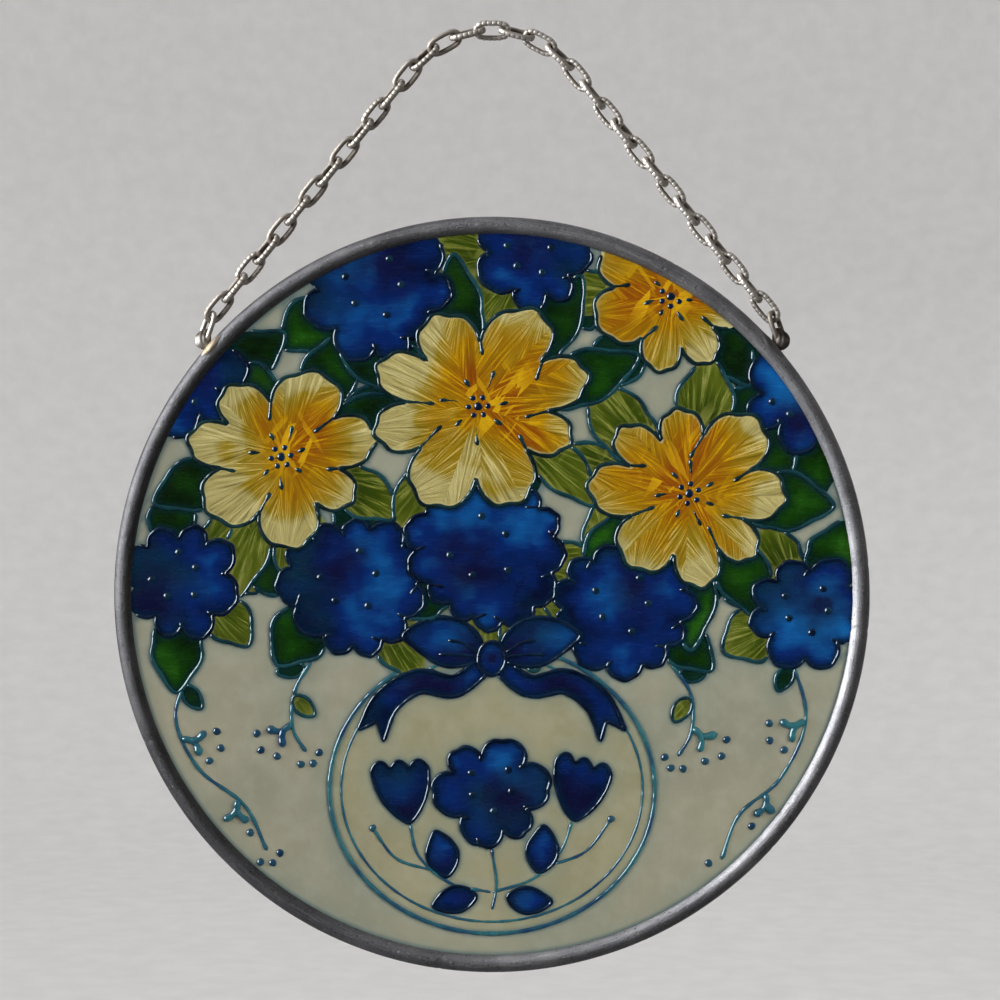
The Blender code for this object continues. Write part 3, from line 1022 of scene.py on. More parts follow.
# %% The sprig in the medallion
SPRIG_STEMS = (
    ((0, -69), (1, -63), (0, -55), (0, -45)), ((0, -65), (-9, -63), (-16, -57), (-18, -49)),
    ((0, -65), (9, -62), (15, -56), (18, -48)), ((-13.2, -60.2), (-21, -57.5), (-26, -51)),
    ((12.6, -59.2), (20.5, -56), (26, -49)),
)
# foot x and y, direction in degrees, length and width
SPRIG_LEAVES = ((-3, -65.8, 190, 10.5, 5), (3, -65.8, 350, 10.5, 5), (-10, -62, 100, 11, 6),
                (10, -61, 80, 11, 6))
SPRIG_BUDS = ((-18, -50, 100, 14, 12.5), (18, -49.5, 80, 14, 12.5))
for x, y, degrees, length, width in SPRIG_LEAVES:
    turn = math.radians(degrees)
    leaf = leaf_line((x, y), turn, length, width, bend=0.3, teeth=1.0)
    Motif("blue", leaf, (x, y), length, turn=turn, kind="sprig leaf")
for x, y, degrees, length, width in SPRIG_BUDS:
    turn = math.radians(degrees)
    Motif("blue", tulip_line((x, y), turn, length, width), (x, y), length, kind="sprig bud")
SPRIG_HEART = (0, -43)
SPRIG_REACH = 12.5
flower = petal_line(SPRIG_HEART, SPRIG_REACH, 6, 0.35, 0.60, taper=0.45, tip_notch=0.06)
Motif("blue", flower, SPRIG_HEART, SPRIG_REACH, kind="blue flower")
print(len(picture), "motifs in the picture")

# %% [markdown]
# ## Cutting the cells
# Where one motif lies over another, only the part that shows gets its enamel. A constrained
# triangulation does this cutting: it keeps every outline as edges, works out their crossings,
# and says for each triangle which outlines it lies in. The last of those is the motif in front.

# %% Points and loops for the triangulation
GRID_STEP = 1.25                 # mm between points inside the cells
ROW_RATIO = 0.866                # height of an even-sided triangle over its side
EDGE_MARGIN = 0.6                # mm that the grid keeps away from the picture's edge
LINE_MARGIN = 0.55               # mm that it keeps away from the points of an outline


def rays_of(motif):
    """Outline points where a flower's facets meet, and the direction of each from its heart."""
    spokes = motif.outline - motif.heart
    turns = np.arctan2(spokes[:, 1], spokes[:, 0])
    wanted = motif.turn + 2 * math.pi * np.arange(motif.facets) / motif.facets
    away = np.angle(np.exp(1j * (turns[None] - wanted[:, None])))
    chosen = sorted(set(np.abs(away).argmin(axis=1).tolist()), key=lambda index: turns[index])
    return chosen, turns[chosen]


def tree_of(points):
    """A search tree that knows how far away the nearest of these points is."""
    tree = KDTree(len(points))
    for index, (x, y) in enumerate(points):
        tree.insert((x, y, 0.0), index)
    tree.balance()
    return tree


def pattern_input():
    """Every outline, the facet edges of the gold flowers, and a grid of points between them."""
    points, edges, faces = [], [], []
    for motif in picture:
        start = len(points)
        points += motif.outline.tolist()
        faces.append(list(range(start, len(points))))
        if motif.kind == "gold flower":
            edges += [(len(points), start + ray) for ray in rays_of(motif)[0]]
            points.append(motif.heart.tolist())
    taken = tree_of(points)
    rows = int(PICTURE_RADIUS / (GRID_STEP * ROW_RATIO))
    for row in range(-rows, rows + 1):
        for column in range(-rows, rows + 1):
            x = (column + 0.5 * (row % 2)) * GRID_STEP
            y = row * GRID_STEP * ROW_RATIO
            if math.hypot(x, y) >= PICTURE_RADIUS - EDGE_MARGIN:
                continue
            if taken.find((x, y, 0.0))[2] > LINE_MARGIN:
                points.append([x, y])
    return points, edges, faces


# %% Cut, and find the motif in front of each triangle
points, edges, faces = pattern_input()
cut = delaunay_2d_cdt([Vector(point) for point in points], edges, faces, 0, 1e-4, True)
cell_points = np.array([tuple(point) for point in cut[0]])
cell_triangles = np.array([list(face) for face in cut[2]])
cell_motif = np.array([max(owners) if ground.order in owners else -1 for owners in cut[5]])
cell_triangles = cell_triangles[cell_motif >= 0]
cell_motif = cell_motif[cell_motif >= 0]
corners = cell_points[cell_triangles]
first, second = corners[:, 1] - corners[:, 0], corners[:, 2] - corners[:, 0]
flipped = first[:, 0] * second[:, 1] - first[:, 1] * second[:, 0] < 0
cell_triangles[flipped] = cell_triangles[flipped][:, ::-1]
print(len(cell_triangles), "triangles in the pattern")

# %% How far is each point from the nearest line that shows?
SEEN_STEP = 0.3                  # mm between the points that stand for the lines


def inside_loop(points, loop):
    """Which points lie in a closed loop, by counting crossings to the right."""
    x, y = points[:, 0:1], points[:, 1:2]
    x1, y1 = loop[:, 0], loop[:, 1]
    x2, y2 = np.roll(x1, -1), np.roll(y1, -1)
    straddles = (y1 > y) != (y2 > y)
    rise = np.where(y2 == y1, 1e-9, y2 - y1)
    return ((straddles & (x < (x2 - x1) * (y - y1) / rise + x1)).sum(axis=1) % 2) == 1


def covered(points, order):
    """Which points lie under a motif in front of the given one."""
    hidden = np.zeros(len(points), bool)
    for motif in picture[order + 1:]:
        near = np.linalg.norm(points - motif.outline.mean(axis=0), axis=1)
        close = ~hidden & (near < np.ptp(motif.outline, axis=0).max())
        hidden[close] = inside_loop(points[close], motif.outline)
    return hidden


seen_lines = []
for motif in picture:
    fine = evenly(motif.outline, SEEN_STEP)
    seen_lines.append(fine[~covered(fine, motif.order)])
seen_lines = np.vstack(seen_lines)
line_tree = tree_of(seen_lines)
edge_distance = np.array([line_tree.find((x, y, 0.0))[2] for x, y in cell_points])
print(f"{len(seen_lines) * SEEN_STEP / 1000:.1f} m of line shows")

# %% [markdown]
# ## Flooding the cells
# Each enamel becomes one closed mesh. Its top swells away from the lines, as wet enamel does
# when it creeps up to its borders and settles, and its flat underside lies on the glass. Each
# face also keeps the middle of its fan: the point that its crystal streaks run away from.

# %% Build the enamel layers
LAYER_GAP = 0.01                 # mm between glass and enamel
EDGE_HEIGHT = 0.10               # mm at the lines
SWELL_REACH = 1.1                # mm from a line, over which the enamel swells up
DOME_HEIGHT = {"frost": 0.05, "cream": 0.06, "gold": 0.22, "blue": 0.26, "leaf": 0.24,
               "olive": 0.20}


def on_glass(points, height):
    """Pattern points in mm, at a height above the glass in mm, as places in the frame."""
    height = np.broadcast_to(height, len(points))
    return np.stack([MIDDLE.x + points[:, 0] * MM, GLASS_FRONT - height * MM,
                     MIDDLE.z + points[:, 1] * MM], -1)


GOLDEN_SHARE = 0.618             # spreads the motifs' own numbers evenly between 0 and 1
RIBBON_NUMBER = 0.7              # one number for the whole bow, so that its parts match
BEHIND_HEART = 0.15              # a fan middle behind the heart, as a share of the reach
BEYOND_TIP = 1.15                # the same for facets that fan back from the petal's tip
BEFORE_HEART = -0.30             # and for those that fan out from across the heart


def fan_middles(motif, middles):
    """A fan middle and a number of its own for each triangle of one motif."""
    fans = np.zeros((len(middles), 3))
    fans[:, :2] = motif.heart - BEHIND_HEART * motif.reach * direction(motif.turn)
    own_number = (motif.order * GOLDEN_SHARE) % 1.0
    fans[:, 2] = RIBBON_NUMBER if motif.kind == "ribbon" else own_number
    if motif.kind != "gold flower":
        return fans
    chance = np.random.default_rng(motif.order)
    spokes = middles - motif.heart
    turns = np.arctan2(spokes[:, 1], spokes[:, 0])
    borders = rays_of(motif)[1]
    facet = np.searchsorted(borders, turns) % len(borders)
    for number in range(len(borders)):
        ahead = borders[number] if number else borders[0] + 2 * math.pi
        aim = (borders[number - 1] + ahead) / 2
        to_tip = chance.random() < 0.5
        away = motif.reach * (BEYOND_TIP if to_tip else BEFORE_HEART)
        lean = aim + (chance.random() - 0.5) * (0.5 if to_tip else 2.4)
        fans[facet == number, :2] = motif.heart + away * direction(lean)
        fans[facet == number, 2] = chance.random()
    return fans


cell_fans = np.zeros((len(cell_triangles), 3))
cell_middles = cell_points[cell_triangles].mean(axis=1)
for motif in picture:
    mine = cell_motif == motif.order
    if mine.any():
        cell_fans[mine] = fan_middles(motif, cell_middles[mine])
# how far beside its middle a flower has its deepest colour, as a share of its reach
COLOUR_SHIFT = {"gold flower": 0.20, "blue flower": 0.34}
hearts = np.array([motif.heart + COLOUR_SHIFT.get(motif.kind, 0.0) * motif.reach
                   * direction(5 * motif.turn) for motif in picture])
reaches = np.array([motif.reach for motif in picture])
palenesses = np.array([motif.paleness for motif in picture])


# %% One closed mesh for each enamel
def enamel_mesh(name, enamel):
    """All the cells of one enamel as one closed mesh, with the numbers that its finish reads."""
    wanted = np.array([motif.enamel == enamel for motif in picture])
    chosen = wanted[cell_motif]
    triangles, motifs, fans = cell_triangles[chosen], cell_motif[chosen], cell_fans[chosen]
    used, local = np.unique(triangles, return_inverse=True)
    local = local.reshape(-1, 3)
    flat = cell_points[used]
    swell = 1 - np.exp(-edge_distance[used] / SWELL_REACH)
    top = on_glass(flat, LAYER_GAP + EDGE_HEIGHT + DOME_HEIGHT[enamel] * swell)
    bottom = on_glass(flat, LAYER_GAP)
    # a side that only one triangle has is a border, and gets a wall down to the glass
    sides = np.concatenate([local[:, [0, 1]], local[:, [1, 2]], local[:, [2, 0]]])
    owner = np.tile(np.arange(len(local)), 3)
    code = np.sort(sides, axis=1) @ np.array([len(used), 1])
    _, where, count = np.unique(code, return_inverse=True, return_counts=True)
    rim_side = count[where] == 1
    a, b = sides[rim_side].T
    walls = np.stack([a, a + len(used), b + len(used), b], -1)
    faces = [tuple(face) for face in local.tolist()]
    faces += [tuple(face) for face in (local[:, ::-1] + len(used)).tolist()]
    faces += [tuple(face) for face in walls.tolist()]
    mesh = mesh_from(name, np.vstack([top, bottom]), faces, sharp=45)
    face_owner = np.concatenate([np.arange(len(local)), np.arange(len(local)), owner[rim_side]])
    store(mesh, "fan", "FLOAT_VECTOR", "FACE",
          fans[face_owner] * (MM, MM, 1.0) + (MIDDLE.x, MIDDLE.z, 0.0))
    # tone is kept by corners, because neighbouring cells each have their own heart
    corner_face = np.repeat(face_owner, [len(face) for face in faces])
    corner_point = used[np.concatenate([np.array(face) for face in faces]) % len(used)]
    spokes = cell_points[corner_point] - hearts[motifs[corner_face]]
    tone = np.linalg.norm(spokes, axis=1) / reaches[motifs[corner_face]]
    tone = tone * (1 + palenesses[motifs[corner_face]])
    store(mesh, "tone", "FLOAT", "CORNER", tone)
    store(mesh, "edge", "FLOAT", "POINT", np.tile(edge_distance[used], 2))
    return mesh


# %% [markdown]
# ## Enamel colours
# Three kinds of enamel fill the picture. The ground is a matt frosting. Blue and green are
# glossy and lie in soft pools of deeper and paler colour. Gold and olive hold fine straight
# crystals that fan out like frost on a window, so their streaks follow the fans kept above.

# %% Pattern helpers for the enamels


def fan_place(finish):
    """Turn about each face's own fan middle, distance from it, and a number of its own."""
    place = finish.parts(finish.place())
    fan = finish.parts(finish.attribute("fan", "Vector"))
    across = finish.math("SUBTRACT", place["X"], fan["X"])
    up = finish.math("SUBTRACT", place["Z"], fan["Y"])
    far = finish.math("POWER", finish.math("ADD", finish.math("MULTIPLY", across, across),
                                           finish.math("MULTIPLY", up, up)), 0.5)
    return finish.math("ARCTAN2", up, across), far, fan["Z"]


def fan_streaks(finish, fan, fineness, along=90.0, detail=5.0):
    """Straight streaks that run out from the fan's middle; more fineness, thinner streaks."""
    turn, far, own_number = fan
    place = finish.node("ShaderNodeCombineXYZ", {"X": finish.math("MULTIPLY", turn, fineness),
                                                 "Y": finish.math("MULTIPLY", far, along),
                                                 "Z": finish.math("MULTIPLY", own_number, 80.0)})
    return finish.noise(place.outputs["Vector"], 1.0, detail, 0.62)


def own_place(finish):
    """Object coordinates moved by a different amount on each motif."""
    own_number = finish.parts(finish.attribute("fan", "Vector"))["Z"]
    shift = finish.node("ShaderNodeCombineXYZ", {"Y": own_number})
    moved = finish.node("ShaderNodeVectorMath", {0: finish.place(), 1: shift.outputs["Vector"]},
                        operation="ADD")
    return moved.outputs["Vector"]


LINE_CORE = 0.25                 # mm from a line's middle, still fully in its tint


def near_line(finish, reach):
    """1 at a raised line, falling to 0 at the given distance in mm."""
    faded = finish.node("ShaderNodeMapRange", {"Value": finish.attribute("edge"),
                                               "From Min": LINE_CORE, "From Max": reach,
                                               "To Min": 1.0, "To Max": 0.0},
                        interpolation_type="SMOOTHSTEP")
    return faded.outputs["Result"]


# %% Frosting for the ground and the medallion
def frost_finish(name, low, high, warm):
    """Matt frosting in faint clouds, stained a little by the paste beside it."""
    finish = Finish(name, Transmission_Weight=0.30, IOR=1.45)
    cloud = finish.noise(finish.place(), 22.0, 4.0, 0.55)
    grain = finish.noise(finish.place(), 2600.0, 2.0)
    mottle = finish.noise(finish.place(), 260.0, 4.0, 0.6)
    base = finish.ramp(cloud, (0.30, low), (0.52, high), (0.75, warm))
    base = finish.mix(finish.ramp(mottle, (0.42, 0.0), (0.72, 0.16)), base, (0.55, 0.55, 0.47))
    tinged = finish.math("MULTIPLY", near_line(finish, 5.5), 0.22)
    base = finish.mix(tinged, base, (0.17, 0.24, 0.20))
    halo = finish.math("MULTIPLY", near_line(finish, 1.4), 0.60)
    finish.colour(finish.mix(halo, base, (0.035, 0.12, 0.15)))
    finish.roughness(finish.ramp(mottle, (0.3, 0.50), (0.7, 0.60)))
    finish.relief(grain, 0.00003, 0.4)
    return finish


# %% Pooled blue and green enamel
def pooled_finish(name, deep, middle, bright, line_tint, second_tint, core):
    """Glossy enamel in soft pools, deepest by the lines, with faint brushed streaks."""
    finish = Finish(name, Transmission_Weight=0.22, IOR=1.5, Coat_Weight=0.35,
                    Coat_Roughness=0.07, Specular_IOR_Level=0.15)
    place = own_place(finish)
    own_number = finish.parts(finish.attribute("fan", "Vector"))["Z"]
    pools = finish.noise(finish.stretched(place, (1.0, 1.0, 1.2)), 62.0, 4.0, 0.5)
    weave = finish.noise(finish.stretched(place, (0.22, 1.0, 1.0)), 1300.0, 2.0)
    brushed = finish.noise(finish.stretched(place, (1.0, 1.0, 0.22)), 420.0, 3.0, 0.6)
    fine = finish.math("ADD", finish.swing(weave, 0.06), finish.swing(brushed, 0.06))
    mixed = finish.math("ADD", pools, fine)
    mixed = finish.math("ADD", mixed, finish.swing(own_number, 0.09, middle=0.62))
    mixed = finish.math("SUBTRACT", mixed, finish.math("MULTIPLY", near_line(finish, 5.0), 0.11))
    base = finish.ramp(mixed, (0.28, deep), (0.47, middle), (0.70, bright))
    patches = finish.noise(place, 45.0, 2.0)
    base = finish.mix(finish.ramp(patches, (0.54, 0.0), (0.68, 0.6)), base, second_tint)
    depths = finish.noise(place, 85.0, 4.0)
    from_heart = finish.math("ADD", finish.attribute("tone"), finish.swing(depths, 1.5))
    base = finish.mix(finish.ramp(from_heart, (0.05, 0.90), (0.60, 0.0)), base, core)
    finish.colour(finish.mix(finish.math("MULTIPLY", near_line(finish, 1.8), 0.88), base,
                             line_tint))
    finish.roughness(finish.ramp(weave, (0.3, 0.22), (0.7, 0.30)))
    finish.relief(finish.noise(place, 500.0, 2.0), 0.00005, 0.35)
    return finish


# %% Crystal gold and olive enamel
def crystal_shards(finish, degrees, across, along, empty):
    """Long sharp-edged flakes that all lie one way: 1 inside a flake, 0 outside."""
    turned = finish.node("ShaderNodeMapping", {"Vector": own_place(finish),
                                               "Rotation": (0.0, math.radians(degrees), 0.0),
                                               "Scale": (across * MM, 1.0, along * MM)},
                         vector_type="TEXTURE")
    cells = finish.node("ShaderNodeTexVoronoi", {"Vector": turned.outputs["Vector"],
                                                 "Scale": 1.0})
    colour = finish.node("ShaderNodeSeparateColor", {"Color": cells.outputs["Color"]})
    return finish.ramp(colour.outputs["Red"], (empty, 0.0), (empty + 0.01, 1.0))


# painted glint flakes: direction in degrees, width and length in mm, how many cells stay empty, and
# strength
GLINT_FLAKES = ((28, 1.7, 8.5, 0.87, 0.75), (38, 1.1, 7.0, 0.90, 0.55), (-32, 1.0, 8.0, 0.92, 0.45))


def crystal_finish(name, fineness, deep, middle, light, pale, glint, line_tint, tint_amount):
    """Fanned crystal enamel, deep at a flower's heart and pale at its tips, with painted glints."""
    finish = Finish(name, Transmission_Weight=0.18, IOR=1.5, Coat_Weight=0.15,
                    Coat_Roughness=0.10, Specular_IOR_Level=0.08)
    fan = fan_place(finish)
    streaks = fan_streaks(finish, fan, fineness)
    hairs = fan_streaks(finish, fan, 3 * fineness, along=60.0, detail=3.0)
    bundles = fan_streaks(finish, fan, 9.0, along=35.0, detail=2.0)
    pools = finish.noise(finish.place(), 95.0, 2.0)
    tone = finish.attribute("tone")
    depth = finish.math("ADD", finish.math("SUBTRACT", tone, 0.04), finish.swing(pools, 1.0))
    depth = finish.math("ADD", depth, finish.swing(fan[2], 0.28))
    base = finish.ramp(depth, (0.20, deep), (0.54, middle), (0.85, light), (1.0, pale))
    shaded = finish.mix(1.0, base, finish.ramp(streaks, (0.34, 0.40), (0.50, 1.0)), "MULTIPLY")
    combed = finish.math("MULTIPLY", finish.ramp(bundles, (0.35, 1.0), (0.65, 0.55)),
                         finish.ramp(depth, (0.35, 0.40), (0.90, 1.0)))
    base = finish.mix(combed, base, shaded)
    # painted highlight: near the heart the light streaks and hairs take the glint colour, and
    # towards the tips the pale line tint
    thread = finish.mix(finish.ramp(depth, (0.55, 0.0), (0.95, 1.0)), glint, line_tint)
    light_streaks = finish.ramp(streaks, (0.52, 0.0), (0.66, 0.75))
    base = finish.mix(light_streaks, base, thread)
    # painted glints: bright flakes in the glint colour near the heart, as if the crystals caught
    # the lamp
    in_heart = finish.ramp(tone, (0.26, 1.0), (0.56, 0.0))
    for degrees, across, along, empty, amount in GLINT_FLAKES:
        flakes = finish.math("MULTIPLY", crystal_shards(finish, degrees, across, along, empty),
                             finish.math("MULTIPLY", in_heart, amount))
        base = finish.mix(flakes, base, glint)
    in_bundle = finish.ramp(bundles, (0.46, 0.0), (0.60, 0.75))
    thin = finish.math("MULTIPLY", finish.ramp(hairs, (0.54, 0.0), (0.64, 1.0)), in_bundle)
    base = finish.mix(thin, base, thread)
    halo = finish.math("MULTIPLY", near_line(finish, 0.95), tint_amount)
    finish.colour(finish.mix(halo, base, line_tint))
    finish.roughness(finish.ramp(streaks, (0.35, 0.36), (0.65, 0.24)))
    finish.relief(streaks, 0.00010, 0.5)
    return finish


# %% Flood the cells
ENAMELS = {
    "frost": ("frosted_ground", frost_finish(
        "ground_frosting", low=(0.236, 0.242, 0.184), high=(0.288, 0.281, 0.203),
        warm=(0.352, 0.325, 0.228))),
    "cream": ("cream_medallion", frost_finish(
        "cream_frosting", low=(0.258, 0.248, 0.148), high=(0.295, 0.279, 0.166),
        warm=(0.34, 0.312, 0.190))),
    "gold": ("gold_enamel", crystal_finish(
        "crystal_gold", fineness=38.0, deep=(0.228, 0.060, 0.0002),
        middle=(0.258, 0.128, 0.0004), light=(0.250, 0.178, 0.006), pale=(0.355, 0.305, 0.108),
        glint=(0.60, 0.355, 0.005), line_tint=(0.60, 0.545, 0.27), tint_amount=0.75)),
    "blue": ("blue_enamel", pooled_finish(
        "pooled_blue", deep=(0.001, 0.0045, 0.028), middle=(0.0011, 0.017, 0.125),
        bright=(0.0035, 0.108, 0.345), line_tint=(0.001, 0.012, 0.040),
        second_tint=(0.003, 0.031, 0.064), core=(0.0040, 0.0034, 0.026))),
    "leaf": ("green_enamel", pooled_finish(
        "pooled_green", deep=(0.002, 0.011, 0.002), middle=(0.005, 0.038, 0.002),
        bright=(0.022, 0.12, 0.006), line_tint=(0.002, 0.020, 0.018),
        second_tint=(0.012, 0.055, 0.004), core=(0.0015, 0.0085, 0.0015))),
    "olive": ("olive_enamel", crystal_finish(
        "crystal_olive", fineness=20.0, deep=(0.020, 0.040, 0.001),
        middle=(0.042, 0.068, 0.002), light=(0.078, 0.105, 0.005), pale=(0.150, 0.165, 0.026),
        glint=(0.24, 0.26, 0.05), line_tint=(0.26, 0.27, 0.085), tint_amount=0.30)),
}
for enamel, (name, finish) in ENAMELS.items():
    layer = add_piece(name, enamel_mesh(name, enamel), finish)
    print(name, len(layer.data.polygons), "faces")

# %% [markdown]
# ## The raised lines
# The lines are a thick paste squeezed from a fine nozzle, about 1 mm wide and half as high,
# with blobs where the nozzle stopped. Each is a D-shaped section swept along its path: flat
# on the glass, round on top, its width wandering a little. A line stops where a motif in front
# covers it.

# %% Sweep one line of paste
LINE_HALF_WIDTH = 0.48           # mm
FINE_HALF_WIDTH = 0.40           # mm, of the lines around small motifs
LINE_HEIGHT = 0.58               # mm
LINE_STEP = 0.5                  # mm between points along a line
DOME_POINTS = 8
WAVES = (9.0, 3.6, 2.1)          # mm, lengths of the slow, quick and short unevenness
END_LENGTH = 2.2                 # steps over which a line rounds off at its ends


def visible_runs(points, shown, closed):
    """Split a line into the unbroken stretches that show."""
    if closed and shown.all():
        return [(points, True)]
    if closed:
        start = int(np.argmin(shown))
        points, shown = np.roll(points, -start, axis=0), np.roll(shown, -start)
    marks = np.flatnonzero(np.diff(np.concatenate([[0], shown.astype(int), [0]])))
    fewest = 7 if closed else 5    # shorter scraps would look like dirt
    return [(points[a:b], False) for a, b in zip(marks[::2], marks[1::2]) if b - a >= fewest]


def swept_bead(points, closed, half_width, seed, blob):
    """Points and faces of one bead of paste; blob swells its last end."""
    count = len(points)
    number = np.arange(count)
    before = points[number - 1] if closed else points[np.maximum(number - 1, 0)]
    after = points[(number + 1) % count] if closed else points[np.minimum(number + 1, count - 1)]
    tangent = after - before
    tangent /= np.maximum(np.linalg.norm(tangent, axis=1), 1e-9)[:, None]
    side = np.stack([-tangent[:, 1], tangent[:, 0]], -1)
    phase = 2 * math.pi * number / count
    slow, quick, short = (max(1, round(count * LINE_STEP / wave)) for wave in WAVES)
    wander = 1 + 0.09 * np.sin(slow * phase + seed) + 0.07 * np.sin(quick * phase + 2 * seed)
    lumps = 1 + 0.085 * np.sin(short * phase + 3 * seed)
    if not closed:
        to_end = np.minimum(number, count - 1 - number)
        wander = wander + (blob - 1) * np.exp(-((count - 3 - number) / 1.6) ** 2)
        left = 1 - np.minimum(to_end, END_LENGTH) / END_LENGTH
        wander = wander * np.sqrt(np.clip(1 - left ** 2, 0.001, 1))
    turn = np.linspace(0, math.pi, DOME_POINTS)
    across = half_width * wander[:, None] * np.cos(turn)
    height = LINE_HEIGHT * half_width / LINE_HALF_WIDTH * (wander * lumps)[:, None] * np.sin(turn)
    height = height + LAYER_GAP
    flat = points[:, None] + side[:, None] * across[..., None]
    placed = on_glass(flat.reshape(-1, 2), height.ravel())
    rows = count if closed else count - 1
    row, column = np.meshgrid(np.arange(rows), np.arange(DOME_POINTS), indexing="ij")
    ahead, beside = (row + 1) % count, (column + 1) % DOME_POINTS
    faces = np.stack([row * DOME_POINTS + column, row * DOME_POINTS + beside,
                      ahead * DOME_POINTS + beside, ahead * DOME_POINTS + column], -1)
    faces = faces.reshape(-1, 4).tolist()
    if not closed:
        faces.append(list(range(DOME_POINTS))[::-1])
        faces.append(list(range((count - 1) * DOME_POINTS, count * DOME_POINTS)))
    return placed, faces


# %% Collect the lines, and sweep them group by group
LINE_LIMIT = 78.2                # mm from the middle, where the rim's lip begins
lines = {"gold": [], "blue": [], "leaf": [], "ground": []}


def draw(group, points, order, closed=False, half_width=LINE_HALF_WIDTH, blob=1.0):
    """Add a line to its group, without the stretches that a motif in front of it covers."""
    points = evenly(points, LINE_STEP, closed)
    shown = ~covered(points, order) & (np.linalg.norm(points, axis=1) < LINE_LIMIT)
    for run, whole in visible_runs(points, shown, closed):
        seed = len(lines[group]) * 1.7 + order
        lines[group].append(swept_bead(run, whole, half_width, seed, blob))


def joined_mesh(name, parts):
    """One mesh from many small closed parts."""
    points, faces, start = [], [], 0
    for placed, own_faces in parts:
        points.append(placed)
        faces += [[corner + start for corner in face] for face in own_faces]
        start += len(placed)
    return mesh_from(name, np.vstack(points), faces, sharp=60)


GROUP_OF = {"cream": "ground", "gold": "gold", "blue": "blue", "leaf": "leaf", "olive": "leaf"}
for motif in picture[1:]:
    fine = motif.kind.startswith(("sprig", "small"))
    draw(GROUP_OF[motif.enamel], motif.outline, motif.order, closed=True,
         half_width=FINE_HALF_WIDTH if fine else LINE_HALF_WIDTH)
print({group: len(parts) for group, parts in lines.items()})

# %% Strokes inside the flowers
STAMENS = 7                      # fine strokes around each gold flower's heart
STAMEN_START = 0.17              # as a share of the flower's reach
STAMEN_HALF_WIDTH = 0.30         # mm
SMALL_FLOWER = 12                # mm of reach, up to which a blue flower has no strokes or dots
# length at least, up to how much more, both as shares of the reach, and half width in mm
NOTCH_STROKES = {"gold flower": (0.16, 0.18, 0.38), "blue flower": (0.09, 0.12, 0.34)}


def notch_strokes(motif, chance):
    """Short strokes that run inwards from the notches between the petals."""
    least, more, half_width = NOTCH_STROKES[motif.kind]
    spokes = np.linalg.norm(motif.outline - motif.heart, axis=1)
    turns = np.arctan2(*(motif.outline - motif.heart).T[::-1])
    around = np.arange(-5, 6)
    low = [index for index in range(len(spokes))
           if spokes[index] == spokes[(index + around) % len(spokes)].min()]
    for number, index in enumerate(low):
        if number % 3 == 2 or motif.reach < SMALL_FLOWER:
            continue
        start, length = spokes[index] + 0.9, motif.reach * (least + more * chance.random())
        lean = (chance.random() - 0.5) * 0.5
        along = np.linspace(0, 1, 12)
        stroke = motif.heart + (start - along * length)[:, None] * direction(
            turns[index] + lean * along ** 1.6)
        draw(GROUP_OF[motif.enamel], stroke, motif.order, half_width=half_width, blob=1.5)


for motif in picture:
    chance = np.random.default_rng(motif.order + 50)
    if motif.kind in NOTCH_STROKES:
        notch_strokes(motif, chance)
    if motif.kind != "gold flower":
        continue
    for number in range(STAMENS):
        turn = motif.turn + (number + 0.25 * chance.random()) * 2 * math.pi / STAMENS
        along = np.linspace(STAMEN_START, 0.30 + 0.08 * (number % 2), 8)
        bent = turn + 0.5 * (along - STAMEN_START)
        draw("gold", motif.heart + motif.reach * along[:, None] * direction(bent), motif.order,
             half_width=STAMEN_HALF_WIDTH, blob=1.9)

# %% Folds of the bow, stems, and tendrils with their twigs
RING_HALF_WIDTH = 0.32           # mm, as the next three are
STEM_HALF_WIDTH = 0.36
TENDRIL_HALF_WIDTH = 0.44
TWIG_HALF_WIDTH = 0.76
BERRY_RADIUS = 0.88              # mm
BUD_DOT_RADIUS = 0.85            # mm, of the dot at the end of each stem in the sprig
berries = []


def twig(place, turn):
    """A side shoot that forks into two fat prongs of paste, with berries beyond them."""
    fork = place + 2.4 * direction(turn)
    for lean in (-0.85, 0.85):
        prong = (place, fork, fork + 1.8 * direction(turn + 0.7 * lean),
                 fork + 3.9 * direction(turn + lean))
        draw("ground", smooth_path(prong), medallion.order, half_width=TWIG_HALF_WIDTH, blob=1.25)
    for lean in (-0.60, 0.0, 0.60):
        berry = fork + (6.6 - 1.2 * abs(lean)) * direction(turn + lean)
        berries.append((*berry, BERRY_RADIUS))


for side in (-1, 1):
    for rise in (0.3, 1.3):
        fold = np.array([(side * 2.6, 0.8 * rise), (side * 6.5, 2.6 * rise),
                         (side * (12.5 - 2 * rise), 3.1 * rise)]) + BOW
        draw("blue", smooth_path(fold), len(picture) - 1, half_width=TENDRIL_HALF_WIDTH, blob=1.3)
INNER_RING_GAP = 2.6             # mm between the medallion's two rings
inner_ring = oval_ring(MEDALLION[0], MEDALLION[1] - INNER_RING_GAP,
                       MEDALLION[2] - INNER_RING_GAP)
draw("ground", inner_ring, medallion.order, closed=True, half_width=RING_HALF_WIDTH)
for knots in SPRIG_STEMS:
    draw("ground", smooth_path(knots), medallion.order, half_width=STEM_HALF_WIDTH, blob=1.2)
    berries.append((*knots[-1], BUD_DOT_RADIUS))
for side, knots in TENDRILS:
    path = smooth_path(knots)
    draw("ground", path, medallion.order, half_width=TENDRIL_HALF_WIDTH, blob=1.3)
    ahead = math.atan2(*(path[-1] - path[-4])[::-1])
    for lean in (-1.0, 0.0, 1.0):
        berries.append((*(path[-1] + 2.8 * direction(ahead + lean)), BERRY_RADIUS))
    for number, place, turn in side_shoots(side, path):
        if number % 3 == 2:
            twig(place, turn)

# %% Paste finishes, and the line pieces


